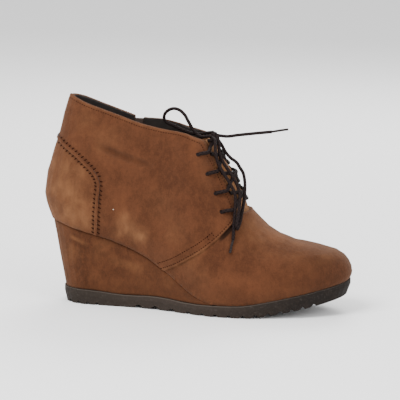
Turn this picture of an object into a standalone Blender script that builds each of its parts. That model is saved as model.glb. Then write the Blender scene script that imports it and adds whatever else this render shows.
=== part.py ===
"""Suede lace-up ankle boot on a covered wedge, right foot, modelled at its real size.

X runs from heel to toe, Y to the inner side of the foot and Z up. While it is modelled, X is
measured from the back edge of the outsole, and ORIGIN_X moves the origin under the heel.
"""

import math

import bmesh
import bpy
import numpy as np
from mathutils import Matrix, Vector

# Driving dimensions, in metres
LENGTH = 0.248  # outsole, back edge to toe tip
BALL_HALF = 0.046  # half the width of the upper at the ball
SHAFT_HEIGHT = 0.1785  # floor to the back of the collar
INSTEP_HEIGHT = 0.061  # floor to the ridge of the vamp over the toe centre
WEDGE_HEIGHT = 0.059  # covered wedge at its back edge
HEEL_SOLE = 0.0132  # outsole under the heel, lugs included
BALL_SOLE = 0.0104  # outsole under the ball, lugs included
TOE_SOLE = 0.0122  # outsole at the toe
TOE_SPRING = 0.0172  # floor to the bottom of the toe tip
ARCH_RISE = 0.0013  # how far the waist of the outsole clears the floor
LUG_DEPTH = 0.0024
HEEL_REACH = 0.046  # heel centre to the fullest point of the upper's back
SOLE_BACK = 0.030  # heel centre to the back edge of the outsole
TOE_REACH = 0.049  # toe centre to the tip of the upper
SOLE_TOE = 0.048  # toe centre to the tip of the outsole
TOE_SWING = 0.004  # how far the toe tip turns to the inner side

WALL = 0.0022  # leather and lining
OVERLAY = 0.0014  # quarter leather that laps over the vamp
RIDGE = 0.0011  # raised seam of the counter, above the quarter
RIDGE_WIDTH = 0.0026
TONGUE_THICK = 0.0020
TONGUE_SHORT = 0.0012  # top of the tongue below the top of the facings
INSOLE_THICK = 0.0025
GAP = 0.0003  # between touching pieces
MIDDLE_LAP = 0.0005  # how far the collar's two cutters pass the middle
COLLAR_SPARE = 0.012  # how far the form runs on above the collar before it is trimmed
ORIGIN_X = 0.030

LACE = 0.0023  # diameter of the round lace
LACE_HOLE = 0.0034
LAST_RISE = 0.0115  # how far the strands of the top holes rise to their crossing's far end

ZIP_X = 0.060
ZIP_FOOT = 0.079  # floor to the bottom of the zip opening
ZIP_SLOT = 0.008
CHAIN_THICK = 0.0014
CHAIN_SINK = 0.0004
CHAIN_SHORT = 0.0010  # top of the chain below the collar
SLIDER_DROP = 0.0070  # middle of the slider below the collar
SLIDER_WIDE = 0.0068
SLIDER_LONG = 0.0090
SLIDER_THICK = 0.0024
BRIDGE_WIDE = 0.0016
BRIDGE_THICK = 0.0010
BRIDGE_ROOM = 0.0018  # free height under the bridge
BRIDGE_FOOT = -0.0033  # lower end of the bridge, from the slider's middle
BRIDGE_HEAD = 0.0030
PIVOT_UP = -0.0009  # hinge of the pull, from the slider's middle
PULL_WIDE = 0.0058
PULL_LONG = 0.0115
PULL_THICK = 0.0010
PULL_BAR = 0.0010  # bar of the pull above its window
WINDOW_WIDE = 0.0024
WINDOW_LONG = 0.0040

HEEL_CENTRE = SOLE_BACK
TOE_CENTRE = LENGTH - SOLE_TOE
BULGE = 0.18  # share of the wall's height where it is fullest

# Sections of the last: along (share of LENGTH), half width and side shift (shares of
# BALL_HALF), tuck and ground (shares of that half width, at the feather line and at the
# floor), taper towards the top, power of the crown's roundness, and how closed the crown is
SECTIONS = (
    ("along", "half", "shift", "tuck", "ground", "taper", "power", "closed"),
    (0.121, 0.740, 0.000, 0.90, 0.815, 0.58, 4.0, 0.0),
    (0.242, 0.762, -0.012, 0.90, 0.810, 0.56, 4.0, 0.0),
    (0.363, 0.815, -0.052, 0.90, 0.845, 0.50, 4.0, 0.0),
    (0.415, 0.862, -0.068, 0.91, 0.865, 0.43, 4.0, 0.55),
    (0.452, 0.897, -0.070, 0.92, 0.890, 0.38, 3.5, 1.0),
    (0.500, 0.945, -0.075, 0.94, 0.925, 0.32, 3.0, 1.0),
    (0.548, 0.978, -0.075, 0.95, 0.955, 0.32, 2.2, 1.0),
    (0.605, 1.000, -0.065, 0.95, 0.965, 0.29, 2.05, 1.0),
    (0.645, 1.008, -0.052, 0.95, 0.965, 0.20, 2.0, 1.0),
    (0.702, 0.990, -0.032, 0.95, 0.967, 0.10, 2.0, 1.0),
    (0.758, 0.935, -0.010, 0.95, 0.967, 0.04, 2.0, 1.0),
    (0.806, 0.873, 0.006, 0.95, 0.967, 0.00, 2.05, 1.0),
)
# Top of the form seen from the side: the collar, then the ridge of the instep and vamp.
# Shares of LENGTH along, and of SHAFT_HEIGHT and INSTEP_HEIGHT up
COLLAR = (
    ("along", "up"),
    (-0.20, 1.000),
    (0.018, 1.000),
    (0.045, 0.989),
    (0.093, 0.964),
    (0.155, 0.937),
    (0.216, 0.910),
    (0.278, 0.883),
    (0.358, 0.862),
    (0.440, 0.847),
    (0.469, 0.832),
    (0.501, 0.813),
)
# How much higher the collar is on the inner side, as a share of SHAFT_HEIGHT
INNER_RISE = (
    ("along", "up"),
    (-0.10, 0.000),
    (0.10, -0.008),
    (0.235, -0.014),
    (0.27, -0.004),
    (0.32, 0.009),
    (0.37, 0.005),
    (0.43, -0.012),
    (0.501, 0.000),
)
RIDGE_LINE = (
    ("along", "up"),
    (0.452, 0.964),
    (0.476, 0.919),
    (0.500, 0.863),
    (0.522, 0.798),
    (0.548, 0.748),
    (0.585, 0.681),
    (0.605, 0.630),
    (0.625, 0.566),
    (0.645, 0.499),
    (0.677, 0.448),
    (0.702, 0.412),
    (0.742, 0.375),
    (0.806, 0.342),
)
# Centre line of the back: height share, reach as a share of HEEL_REACH
BACK_LINE = (
    ("up", "reach"),
    (-0.08, 0.82),
    (0.00, 0.87),
    (0.10, 0.96),
    (0.20, 1.00),
    (0.28, 0.985),
    (0.38, 0.930),
    (0.48, 0.850),
    (0.58, 0.760),
    (0.68, 0.695),
    (0.78, 0.640),
    (0.88, 0.560),
    (1.00, 0.440),
)
# Centre line of the toe: height share, reach as a share of TOE_REACH
TOE_LINE = (
    ("up", "reach"),
    (-0.08, 0.92),
    (0.00, 0.955),
    (0.17, 1.000),
    (0.33, 0.986),
    (0.52, 0.928),
    (0.69, 0.825),
    (0.79, 0.690),
    (0.85, 0.510),
    (0.91, 0.306),
    (1.00, 0.000),
)
# Thickness of the wedge, as a share of WEDGE_HEIGHT
WEDGE_LINE = (
    ("along", "thick"),
    (-0.060, 1.010),
    (0.000, 0.965),
    (0.073, 0.890),
    (0.140, 0.833),
    (0.205, 0.785),
    (0.267, 0.699),
    (0.316, 0.592),
    (0.360, 0.468),
    (0.408, 0.348),
    (0.438, 0.262),
    (0.468, 0.179),
    (0.498, 0.105),
    (0.541, 0.034),
    (0.570, 0.006),
    (0.585, 0.000),
    (0.650, 0.000),
)
WEDGE_TIP = 0.560  # share of LENGTH where the wedge ends in a thin edge
# Edge of the quarter: down the facing, round its foot and back to the feather line
QUARTER_EDGE = (
    ("along", "up"),
    (0.501, 0.813),
    (0.529, 0.740),
    (0.559, 0.668),
    (0.587, 0.592),
    (0.612, 0.525),
    (0.622, 0.472),
    (0.619, 0.446),
    (0.605, 0.419),
    (0.569, 0.366),
    (0.530, 0.320),
    (0.479, 0.274),
    (0.421, 0.227),
    (0.350, 0.182),
)
FACING_ROWS = 6  # rows of QUARTER_EDGE that bound the throat
# Raised seam of the counter, from the back down to the wedge
COUNTER_SEAM = (
    ("along", "up"),
    (-0.060, 0.812),
    (-0.020, 0.794),
    (0.015, 0.765),
    (0.061, 0.724),
    (0.103, 0.677),
    (0.129, 0.644),
    (0.143, 0.615),
    (0.148, 0.581),
    (0.146, 0.547),
    (0.145, 0.494),
    (0.143, 0.423),
    (0.139, 0.350),
    (0.137, 0.300),
)
# Lace holes, lowest first
HOLES = (
    ("along", "up"),
    (0.576, 0.490),
    (0.551, 0.574),
    (0.521, 0.664),
    (0.487, 0.753),
)
# Tread, heel to toe: where a run of lugs starts and how long each is, shares of LENGTH
TREAD = (
    ("start", "pitch", "count"),
    (0.010, 0.034, 4),
    (0.240, 0.062, 4),
    (0.488, 0.047, 4),
    (0.676, 0.041, 3),
    (0.799, 0.035, 3),
)

# Half outlines of the slider and its pull: shares of half the width and of the length
SLIDER_EDGE = (
    ("across", "up"),
    (0.55, -0.50),
    (0.78, -0.12),
    (1.00, 0.15),
    (1.00, 0.38),
    (0.72, 0.50),
)
PULL_EDGE = (
    ("across", "up"),
    (0.55, -1.00),
    (0.90, -0.96),
    (1.00, -0.86),
    (0.72, -0.50),
    (0.66, -0.08),
    (0.50, 0.00),
)
# How a lace strand runs from its hole to the other facing: share of the way across, share
# of the way up to the next hole, and how far its middle lies off the last
STRAND = (
    ("across", "up", "off"),
    (-1.04, 0.34, 0.0029),
    (-0.62, 0.46, 0.0014),
    (0.00, 0.62, -0.0009),
    (0.34, 0.76, -0.0009),
    (0.64, 0.90, -0.0008),
)
STRAND_OVER = 0.0013  # how much further out the upper strand crosses
STRAND_SINK = 0.0010  # how deep a strand's end sits in its hole
# Free lace, as chosen: the two loops of the bow and its two ends
KNOT = (0.1303, -0.0025, 0.1468)
KNOT_AXIS = (-0.80, 0.05, 0.60)
KNOT_LONG = 0.0038
KNOT_HALF = 0.0024
LOOP_BACK = (
    (0.1255, -0.0037, 0.1468), (0.1178, -0.0022, 0.1463), (0.1126, -0.0005, 0.1497),
    (0.1069, 0.0010, 0.1577), (0.1026, 0.0020, 0.1642), (0.0983, 0.0030, 0.1673),
    (0.0930, 0.0042, 0.1682), (0.0879, 0.0055, 0.1662), (0.0844, 0.0068, 0.1620),
    (0.0842, 0.0080, 0.1577), (0.0870, 0.0085, 0.1550), (0.0916, 0.0085, 0.1533),
    (0.0992, 0.0083, 0.1499), (0.1068, 0.0080, 0.1475), (0.1147, 0.0068, 0.1469),
    (0.1207, 0.0047, 0.1483), (0.1262, 0.0022, 0.1494),
)
LOOP_FRONT = (
    (0.1338, -0.0030, 0.1437), (0.1369, -0.0040, 0.1399), (0.1403, -0.0050, 0.1345),
    (0.1452, -0.0060, 0.1295), (0.1502, -0.0058, 0.1260), (0.1530, -0.0050, 0.1215),
    (0.1556, -0.0042, 0.1172), (0.1571, -0.0040, 0.1103), (0.1585, -0.0093, 0.1036),
    (0.1590, -0.0137, 0.0980), (0.1591, -0.0190, 0.0913), (0.1587, -0.0242, 0.0844),
    (0.1582, -0.0292, 0.0780), (0.1574, -0.0345, 0.0743), (0.1574, -0.0372, 0.0785),
    (0.1578, -0.0330, 0.0858), (0.1577, -0.0279, 0.0936), (0.1572, -0.0238, 0.1005),
    (0.1546, -0.0202, 0.1075), (0.1510, -0.0195, 0.1140), (0.1464, -0.0183, 0.1204),
    (0.1413, -0.0171, 0.1268), (0.1374, -0.0154, 0.1350), (0.1362, -0.0112, 0.1412),
    (0.1342, -0.0066, 0.1453),
)
END_DOWN = (
    (0.1302, -0.0076, 0.1462), (0.1328, -0.0126, 0.1455), (0.1342, -0.0180, 0.1412),
    (0.1354, -0.0214, 0.1345), (0.1384, -0.0216, 0.1256), (0.1430, -0.0226, 0.1184),
    (0.1481, -0.0239, 0.1112), (0.1520, -0.0247, 0.1047), (0.1539, -0.0263, 0.0982),
    (0.1543, -0.0292, 0.0911), (0.1544, -0.0316, 0.0838), (0.1543, -0.0342, 0.0758),
    (0.1545, -0.0360, 0.0702), (0.1546, -0.0380, 0.0655),
)
TIP_DOWN = ((0.1546, -0.0382, 0.0651), (0.1539, -0.0405, 0.0607), (0.1532, -0.0427, 0.0554))
END_OUT = (
    (0.1350, -0.0032, 0.1478), (0.1400, -0.0040, 0.1475), (0.1520, -0.0055, 0.1494),
    (0.1655, -0.0068, 0.1515), (0.1803, -0.0080, 0.1536),
)
TIP_OUT = ((0.1807, -0.0080, 0.1537), (0.1875, -0.0086, 0.1552), (0.1945, -0.0092, 0.1565))
LACE_STEP = 0.0060  # distance between the points of a free lace
STRAND_STEP = 0.0048  # and of a strand that crosses the tongue
TIP = 0.0017  # diameter of the lace tips

SUEDE = (0.18, 0.065, 0.024)
SOLE_RUBBER = (0.045, 0.036, 0.030)
TONGUE_SUEDE = (0.24, 0.115, 0.045)
LINING = (0.05, 0.035, 0.028)
LACE_BROWN = (0.035, 0.022, 0.020)
SILVER = (0.62, 0.61, 0.59)


def column(table, name):
    return np.array([row[table[0].index(name)] for row in table[1:]], float)


def smooth(xs, ys, x):
    """Curve through the points (xs, ys), evaluated at x, that doesn't overshoot them."""
    steps = np.diff(ys) / np.diff(xs)
    slopes = np.concatenate([steps[:1], (steps[:-1] + steps[1:]) / 2, steps[-1:]])
    turning = np.concatenate([[False], steps[:-1] * steps[1:] <= 0, [False]])
    slopes = np.where(turning, 0.0, slopes)
    x = np.clip(x, xs[0], xs[-1])
    i = np.clip(np.searchsorted(xs, x) - 1, 0, len(xs) - 2)
    width = xs[i + 1] - xs[i]
    t = (x - xs[i]) / width
    rise = ys[i + 1] - ys[i]
    a = slopes[i] * width - rise
    b = rise - slopes[i + 1] * width
    return ys[i] + t * rise + t * (1 - t) * (a * (1 - t) + b * t)


def section(name, x):
    """One column of SECTIONS at a place along the shoe."""
    return smooth(column(SECTIONS, "along") * LENGTH, column(SECTIONS, name), x)


def half_width(x):
    return BALL_HALF * section("half", x)


def side_shift(x):
    """Centre of the shoe, which turns to the inner side at the toe."""
    turn = np.clip((x - TOE_CENTRE) / TOE_REACH, 0, 1.2)
    return BALL_HALF * section("shift", x) + TOE_SWING * turn**1.5


def floor_line(x):
    """Bottom of the outsole: flat under heel and ball, raised at the arch and toe."""
    waist = np.clip((x / LENGTH - 0.20) / (0.47 - 0.20), 0, 1)
    arch = ARCH_RISE * np.sin(np.pi * waist) ** 2
    spring = np.clip((x / LENGTH - 0.645) / (1 - 0.645), 0, 1.1)
    return arch + TOE_SPRING * spring**1.5


def sole_top(x):
    along = np.array([-0.1, 0.12, 0.27, 0.38, 0.50, 0.62, 0.85, 1.1])
    ball = np.array([1.0, 1.03, 0.93, 1.0]) * BALL_SOLE
    thick = [HEEL_SOLE, HEEL_SOLE * 0.98, *ball, TOE_SOLE * 1.03, TOE_SOLE * 0.95]
    return floor_line(x) + smooth(along * LENGTH, np.array(thick), x)


def feather(x):
    """Line where the upper meets the wedge and, further on, the outsole."""
    along = column(WEDGE_LINE, "along") * LENGTH
    return sole_top(x) + WEDGE_HEIGHT * smooth(along, column(WEDGE_LINE, "thick"), x)


def collar(x):
    along = column(COLLAR, "along") * LENGTH
    return SHAFT_HEIGHT * smooth(along, column(COLLAR, "up"), x)


def form_top(x):
    """Top of the untrimmed form: above the collar, then down the ridge."""
    along = column(RIDGE_LINE, "along") * LENGTH
    up = column(RIDGE_LINE, "up") * SHAFT_HEIGHT
    up[-1] = INSTEP_HEIGHT
    first = along[0]
    over_collar = collar(np.minimum(x, first)) + COLLAR_SPARE
    start = collar(first) + COLLAR_SPARE
    lift = np.clip((x - 0.85 * first) / (0.15 * first), 0, 1)
    over_collar = over_collar + (up[0] - start) * lift**2
    return np.where(x < first, over_collar, smooth(along, up, x))


def wall_width(x, share):
    """Half width of the form at a share of its height above the feather line."""
    tuck = section("tuck", x)
    low = tuck + (1 - tuck) * np.sin(np.pi / 2 * np.clip(share / BULGE, -1, 1))
    rise = np.clip((share - BULGE) / (1 - BULGE), 0, 1)
    power = section("power", x)
    crown = (1 - section("closed", x) * rise**power) ** (1 / power)
    high = (1 - section("taper", x) * rise) * crown
    return half_width(x) * np.where(share < BULGE, low, high)


def shift_at(x, share):
    """The ridge runs straighter than the sole does."""
    rise = np.clip((share - BULGE) / (1 - BULGE), 0, 1)
    return side_shift(x) * (1 - rise)


# Stations round the outline: half of them turn round the heel or the toe centre
HEEL_TURNS = 7
TOE_TURNS = 9
MIDDLE = (0.16, 0.20, 0.24, 0.28, 0.32, 0.36, 0.395, 0.425, 0.447, 0.465, 0.483, 0.50,
          0.517, 0.533, 0.549, 0.566, 0.583, 0.60, 0.617, 0.635, 0.655, 0.68, 0.71, 0.75)
HEEL_BLUNT = 2.25
TOE_BLUNT = 2.15


def outline(back, toe, width, height, shift, last=None):
    """Closed loop round the shoe, from the back by the outer side to the toe and back.

    back and toe are reaches from the two centres; width, height and shift are functions of
    the place along the shoe. With last, the loop ends there in a straight edge.
    """
    places = []
    heel_width = width(HEEL_CENTRE)
    for i in range(HEEL_TURNS):
        angle = math.pi / 2 * i / HEEL_TURNS
        x = HEEL_CENTRE - back * math.cos(angle) ** (2 / HEEL_BLUNT)
        places.append((x, heel_width * math.sin(angle) ** (2 / HEEL_BLUNT)))
    middle = [HEEL_CENTRE] + [share * LENGTH for share in MIDDLE] + [TOE_CENTRE]
    if last is not None:
        middle = [x for x in middle if x < last - 0.002] + [last]
    places += [(x, float(width(x))) for x in middle]
    if last is None:
        step = 0.002
        slope = (width(TOE_CENTRE) - width(TOE_CENTRE - step)) / step
        for i in range(1, TOE_TURNS + 1):
            angle = math.pi / 2 * (1 - i / TOE_TURNS)
            c = math.cos(angle) ** (2 / TOE_BLUNT)
            s = max(math.sin(angle), 0) ** (2 / TOE_BLUNT) if i < TOE_TURNS else 0.0
            x = TOE_CENTRE + toe * c
            places.append((x, width(TOE_CENTRE) * s + slope * toe * c * s * s))
    outer = [(x, float(shift(x)) - y, float(height(x))) for x, y in places]
    inner = [(x, float(shift(x)) + y, float(height(x))) for x, y in places]
    inner = inner[1:] if last is not None else inner[1:-1]
    return [Vector(p) for p in outer + inner[::-1]]


def collection(name):
    made = bpy.data.collections.new(name)
    bpy.context.scene.collection.children.link(made)
    return made


def clear_scene():
    for thing in list(bpy.data.objects):
        bpy.data.objects.remove(thing, do_unlink=True)


def material(name, colour, roughness, metallic=0.0):
    made = bpy.data.materials.new(name)
    made.use_nodes = True
    shader = made.node_tree.nodes["Principled BSDF"]
    shader.inputs["Base Color"].default_value = (*colour, 1)
    shader.inputs["Roughness"].default_value = roughness
    shader.inputs["Metallic"].default_value = metallic
    return made


clear_scene()
PARTS = collection("wedge_shoe")
CUTTERS = collection("cutters")
SUEDE_MATERIAL = material("suede", SUEDE, 0.95)
SOLE_MATERIAL = material("outsole_rubber", SOLE_RUBBER, 0.6)
TONGUE_MATERIAL = material("tongue_suede", TONGUE_SUEDE, 0.95)
LINING_MATERIAL = material("lining", LINING, 0.8)
LACE_MATERIAL = material("lace", LACE_BROWN, 0.8)
METAL_MATERIAL = material("zip_metal", SILVER, 0.3, 1.0)


def add(name, mesh_of, finish=None, helper=False):
    """Object from a bmesh; a helper is a cutter or a form that isn't itself a piece."""
    bmesh.ops.recalc_face_normals(mesh_of, faces=mesh_of.faces)
    bmesh.ops.translate(mesh_of, vec=(-ORIGIN_X, 0, 0), verts=mesh_of.verts)
    mesh = bpy.data.meshes.new(name)
    mesh_of.to_mesh(mesh)
    mesh_of.free()
    made = bpy.data.objects.new(name, mesh)
    if finish:
        mesh.materials.append(finish)
    if helper:
        made.hide_render = True
        made.display_type = "WIRE"
    (CUTTERS if helper else PARTS).objects.link(made)
    return made


def boolean(target, tool, operation):
    modifier = target.modifiers.new(operation.lower() + "_" + tool.name, "BOOLEAN")
    modifier.operation = operation
    modifier.object = tool


def stack(rings):
    """Solid through closed loops of equal count, capped across the shoe at both ends."""
    shape = bmesh.new()
    loops = [[shape.verts.new(p) for p in ring] for ring in rings]
    count = len(loops[0])
    for low, high in zip(loops, loops[1:]):
        for i in range(count):
            j = (i + 1) % count
            shape.faces.new((low[i], low[j], high[j], high[i]))
    for loop in (loops[0], loops[-1]):
        for i in range(count // 2):
            a, b = loop[i], loop[i + 1]
            c, d = loop[count - i - 1], loop[(count - i) % count]
            corners = [a, b, c, d]
            unique = [v for k, v in enumerate(corners) if v not in corners[:k]]
            if len(unique) > 2:
                shape.faces.new(unique)
    return shape


def prism(points, low=-0.1, high=0.1):
    """Side-view outline drawn out across the shoe, from y = low to y = high."""
    shape = bmesh.new()
    face = shape.faces.new([shape.verts.new((x, low, z)) for x, z in points])
    grown = bmesh.ops.extrude_face_region(shape, geom=[face])
    moved = [g for g in grown["geom"] if isinstance(g, bmesh.types.BMVert)]
    bmesh.ops.translate(shape, vec=(0, high - low, 0), verts=moved)
    return shape


def side_curve(table, samples):
    """Smooth side-view curve through a table of shares, in metres."""
    x = column(table, "along") * LENGTH
    z = column(table, "up") * SHAFT_HEIGHT
    run = np.concatenate([[0], np.cumsum(np.hypot(np.diff(x), np.diff(z)))])
    at = np.linspace(0, run[-1], samples)
    return list(zip(smooth(run, x, at), smooth(run, z, at)))


def levels():
    low = [-0.06, 0.0, BULGE / 3, 2 * BULGE / 3]
    turns = 8
    high = [BULGE + (1 - BULGE) * math.sin(math.pi / 2 * i / turns) for i in range(turns + 1)]
    return low + high


def form_ring(share):
    """Loop of the last at a share of the height of its wall."""
    back = HEEL_REACH * smooth(column(BACK_LINE, "up"), column(BACK_LINE, "reach"), share)
    toe = TOE_REACH * smooth(column(TOE_LINE, "up"), column(TOE_LINE, "reach"), share)
    ring = outline(
        back,
        toe,
        lambda x: wall_width(x, share),
        lambda x: 0.0,
        lambda x: shift_at(x, share),
    )
    foot = outline(
        HEEL_REACH * smooth(column(BACK_LINE, "up"), column(BACK_LINE, "reach"), 0.0),
        TOE_REACH * smooth(column(TOE_LINE, "up"), column(TOE_LINE, "reach"), 0.0),
        lambda x: wall_width(x, 0.0),
        feather,
        lambda x: 0.0,
    )
    for point, low in zip(ring, foot):
        top = form_top(min(point.x, TOE_CENTRE))
        point.z = low.z + share * (float(top) - low.z)
    return ring


def form(offset, thick, name):
    """Shell of the last: its outside lies offset beyond the leather's face."""
    shape = bmesh.new()
    loops = [[shape.verts.new(p) for p in form_ring(share)] for share in levels()]
    count = len(loops[0])
    for low, high in zip(loops, loops[1:]):
        for i in range(count):
            j = (i + 1) % count
            shape.faces.new((low[i], low[j], high[j], high[i]))
    bmesh.ops.remove_doubles(shape, verts=shape.verts, dist=0.00002)
    bmesh.ops.dissolve_degenerate(shape, edges=shape.edges, dist=0.00002)
    bmesh.ops.recalc_face_normals(shape, faces=shape.faces)
    shape.normal_update()
    outward = sum(f.normal.dot(f.calc_center_median() - Vector((0.1, 0, 0.08)))
                  for f in shape.faces)
    sign = 1 if outward > 0 else -1
    for vert in shape.verts:
        vert.co += vert.normal * (sign * offset)
    if sign < 0:
        bmesh.ops.reverse_faces(shape, faces=shape.faces)
    bmesh.ops.translate(shape, vec=(-ORIGIN_X, 0, 0), verts=shape.verts)
    mesh = bpy.data.meshes.new(name)
    shape.to_mesh(mesh)
    shape.free()
    made = bpy.data.objects.new(name, mesh)
    wall = made.modifiers.new("wall", "SOLIDIFY")
    wall.thickness = thick
    wall.offset = -1
    wall.use_even_offset = True
    return made


def as_helper(thing):
    thing.hide_render = True
    thing.display_type = "WIRE"
    CUTTERS.objects.link(thing)
    return thing


# Cutters, all drawn in the side view
def below_feather():
    xs = np.linspace(-0.06, 0.30, 73)
    line = [(x, float(feather(x)) + GAP) for x in xs]
    return add("below_feather", prism(line + [(0.30, -0.05), (-0.06, -0.05)]), helper=True)


def inner_rise(x):
    along = column(INNER_RISE, "along") * LENGTH
    return SHAFT_HEIGHT * smooth(along, column(INNER_RISE, "up"), x)


def facing_edge(samples):
    return side_curve(QUARTER_EDGE[: FACING_ROWS + 1], samples)


def above_collar(name, inner):
    """What lies above the collar and, in front of the facings, above the vamp, on one side."""
    edge = side_curve(COLLAR, 24)
    if inner:
        edge = [(x, z + float(inner_rise(x))) for x, z in edge]
    facing = facing_edge(16)
    foot_x, foot_z = facing[-1]
    throat = [(foot_x + 0.008, foot_z + 0.0005), (foot_x + 0.030, foot_z + 0.012)]
    sky = [(0.30, foot_z + 0.012), (0.30, 0.30), (edge[0][0], 0.30)]
    sides = (-MIDDLE_LAP, 0.1) if inner else (-0.1, MIDDLE_LAP)
    return add(name, prism(edge + facing[1:] + throat + sky, *sides), helper=True)


def quarter_area():
    edge = side_curve((QUARTER_EDGE[0],) + QUARTER_EDGE[FACING_ROWS:], 22)
    start_x, start_z = edge[0]
    top = [(-0.06, 0.30), (0.30, 0.30), (0.30, start_z + 0.03), (start_x + 0.03, start_z + 0.03)]
    return add("quarter_area", prism(top + edge + [(0.05, -0.05), (-0.06, -0.05)]), helper=True)


def seam_band():
    """Strip of RIDGE_WIDTH along the counter's seam."""
    line = side_curve(COUNTER_SEAM, 26)
    left, right = [], []
    for i, (x, z) in enumerate(line):
        before, after = line[max(i - 1, 0)], line[min(i + 1, len(line) - 1)]
        across = Vector((before[1] - after[1], after[0] - before[0])).normalized()
        left.append((x + across.x * RIDGE_WIDTH / 2, z + across.y * RIDGE_WIDTH / 2))
        right.append((x - across.x * RIDGE_WIDTH / 2, z - across.y * RIDGE_WIDTH / 2))
    return add("seam_band", prism(left + right[::-1]), helper=True)


def zip_band(width, foot, top):
    half = width / 2
    corners = [(ZIP_X - half, foot), (ZIP_X + half, foot), (ZIP_X + half, top), (ZIP_X - half, top)]
    return prism(corners, low=0.01)


def skin(x, z, side, offset=0.0):
    """Point on the last at a side-view place, and its outward normal. side is -1 or 1."""

    def at(x, z):
        share = (z - feather(x)) / (form_top(x) - feather(x))
        y = shift_at(x, share) + side * wall_width(x, share)
        return Vector((float(x), float(y), float(z)))

    point = at(x, z)
    d = 0.0005
    along = at(x + d, z) - at(x - d, z)
    up = at(x, z + d) - at(x, z - d)
    normal = along.cross(up).normalized()
    if normal.y * side < 0:
        normal = -normal
    return point + normal * offset, normal


def crown(x, y, z):
    """Negative inside the upper part of the last, zero on it."""
    share = (z - feather(x)) / (form_top(x) - feather(x))
    rise = max(float((share - BULGE) / (1 - BULGE)), 0.0)
    width = half_width(x) * (1 - section("taper", x) * rise)
    power = section("power", x)
    across = abs(y - shift_at(x, share)) / width
    return float(across**power + section("closed", x) * rise**power - 1)


def crown_normal(point):
    d = 0.0004
    x, y, z = point
    slope = Vector((
        crown(x + d, y, z) - crown(x - d, y, z),
        crown(x, y + d, z) - crown(x, y - d, z),
        crown(x, y, z + d) - crown(x, y, z - d),
    ))
    return slope.normalized()


def front(y, z, offset=0.0):
    """Point on the front of the last at a distance across and a height."""
    low, high = 0.40 * LENGTH, 0.85 * LENGTH
    for _ in range(30):
        x = (low + high) / 2
        if crown(x, y, z) < 0:
            low = x
        else:
            high = x
    point = Vector((low, y, z))
    return point + crown_normal(point) * offset


def facing_at(z):
    """How far from the middle the edge of the facing is at a height."""
    line = facing_edge(40)
    x = float(np.interp(-z, [-p[1] for p in line], [p[0] for p in line]))
    share = (z - feather(x)) / (form_top(x) - feather(x))
    return x, float(wall_width(x, share))


def hole_places():
    return [(a * LENGTH, u * SHAFT_HEIGHT) for a, u in HOLES[1:]]


def drill(point, normal, diameter, length, name):
    shape = bmesh.new()
    bmesh.ops.create_cone(
        shape, cap_ends=True, segments=12, radius1=diameter / 2, radius2=diameter / 2, depth=length
    )
    turn = normal.to_track_quat("Z", "Y").to_matrix().to_4x4()
    bmesh.ops.transform(shape, matrix=Matrix.Translation(point) @ turn, verts=shape.verts)
    return add(name, shape, helper=True)


def through(points, spacing):
    """Points at even distances on a smooth curve through the given ones."""
    p = np.array(points)
    run = np.concatenate([[0], np.cumsum(np.linalg.norm(np.diff(p, axis=0), axis=1))])
    slopes = np.gradient(p, run, axis=0)
    at = np.linspace(0, run[-1], max(int(round(run[-1] / spacing)), 2) + 1)
    i = np.clip(np.searchsorted(run, at) - 1, 0, len(run) - 2)
    width = (run[i + 1] - run[i])[:, None]
    t = (at - run[i])[:, None] / width
    rise = p[i + 1] - p[i]
    a = slopes[i] * width - rise
    b = rise - slopes[i + 1] * width
    return [Vector(q) for q in p[i] + t * rise + t * (1 - t) * (a * (1 - t) + b * t)]


def tube(points, radius, sides=8):
    """Round solid along points, with flat ends."""
    shape = bmesh.new()
    side = Vector((0, 1, 0))
    rings = []
    for i, point in enumerate(points):
        ahead = (points[min(i + 1, len(points) - 1)] - points[max(i - 1, 0)]).normalized()
        side = (side - ahead * side.dot(ahead)).normalized()
        other = ahead.cross(side)
        turns = [2 * math.pi * k / sides for k in range(sides)]
        rings.append([
            shape.verts.new(point + (side * math.cos(a) + other * math.sin(a)) * radius)
            for a in turns
        ])
    for low, high in zip(rings, rings[1:]):
        for k in range(sides):
            shape.faces.new((low[k], low[(k + 1) % sides], high[(k + 1) % sides], high[k]))
    shape.faces.new(rings[0])
    shape.faces.new(rings[-1])
    return shape


def cord(name, points, diameter, finish, spacing):
    """Free lace as a curve with a round section."""
    data = bpy.data.curves.new(name, "CURVE")
    data.dimensions = "3D"
    data.bevel_depth = diameter / 2
    data.bevel_resolution = 2
    data.use_fill_caps = True
    line = data.splines.new("POLY")
    route = through(points, spacing)
    line.points.add(len(route) - 1)
    for spot, point in zip(line.points, route):
        spot.co = (point.x - ORIGIN_X, point.y, point.z, 1)
    data.materials.append(finish)
    PARTS.objects.link(bpy.data.objects.new(name, data))


# Laces
def strand(row, side, lift):
    """Route of one strand from a hole of a row to the other facing."""
    places = hole_places()
    x, z = places[row]
    above = places[row + 1][1] if row + 1 < len(places) else z + LAST_RISE
    hole, normal = skin(x, z, side)
    route = [hole - normal * STRAND_SINK, hole + normal * STRAND[1][2]]
    for across, up, off in STRAND[1:]:
        height = z + (above - z) * up
        edge = facing_at(height)[1]
        over = lift if across == 0 else lift * (1 - abs(across)) * 0.5
        route.append(front(-side * across * edge, height, off + over))
    return route


def lace_cross(name, row):
    made = None
    for side, lift in ((-1, STRAND_OVER), (1, 0.0)):
        route = through(strand(row, side, lift), STRAND_STEP)
        if made is None:
            made = add(name, tube(route, LACE / 2), LACE_MATERIAL)
        else:
            other = add(name + "_under", tube(route, LACE / 2), helper=True)
            boolean(made, other, "UNION")


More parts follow.
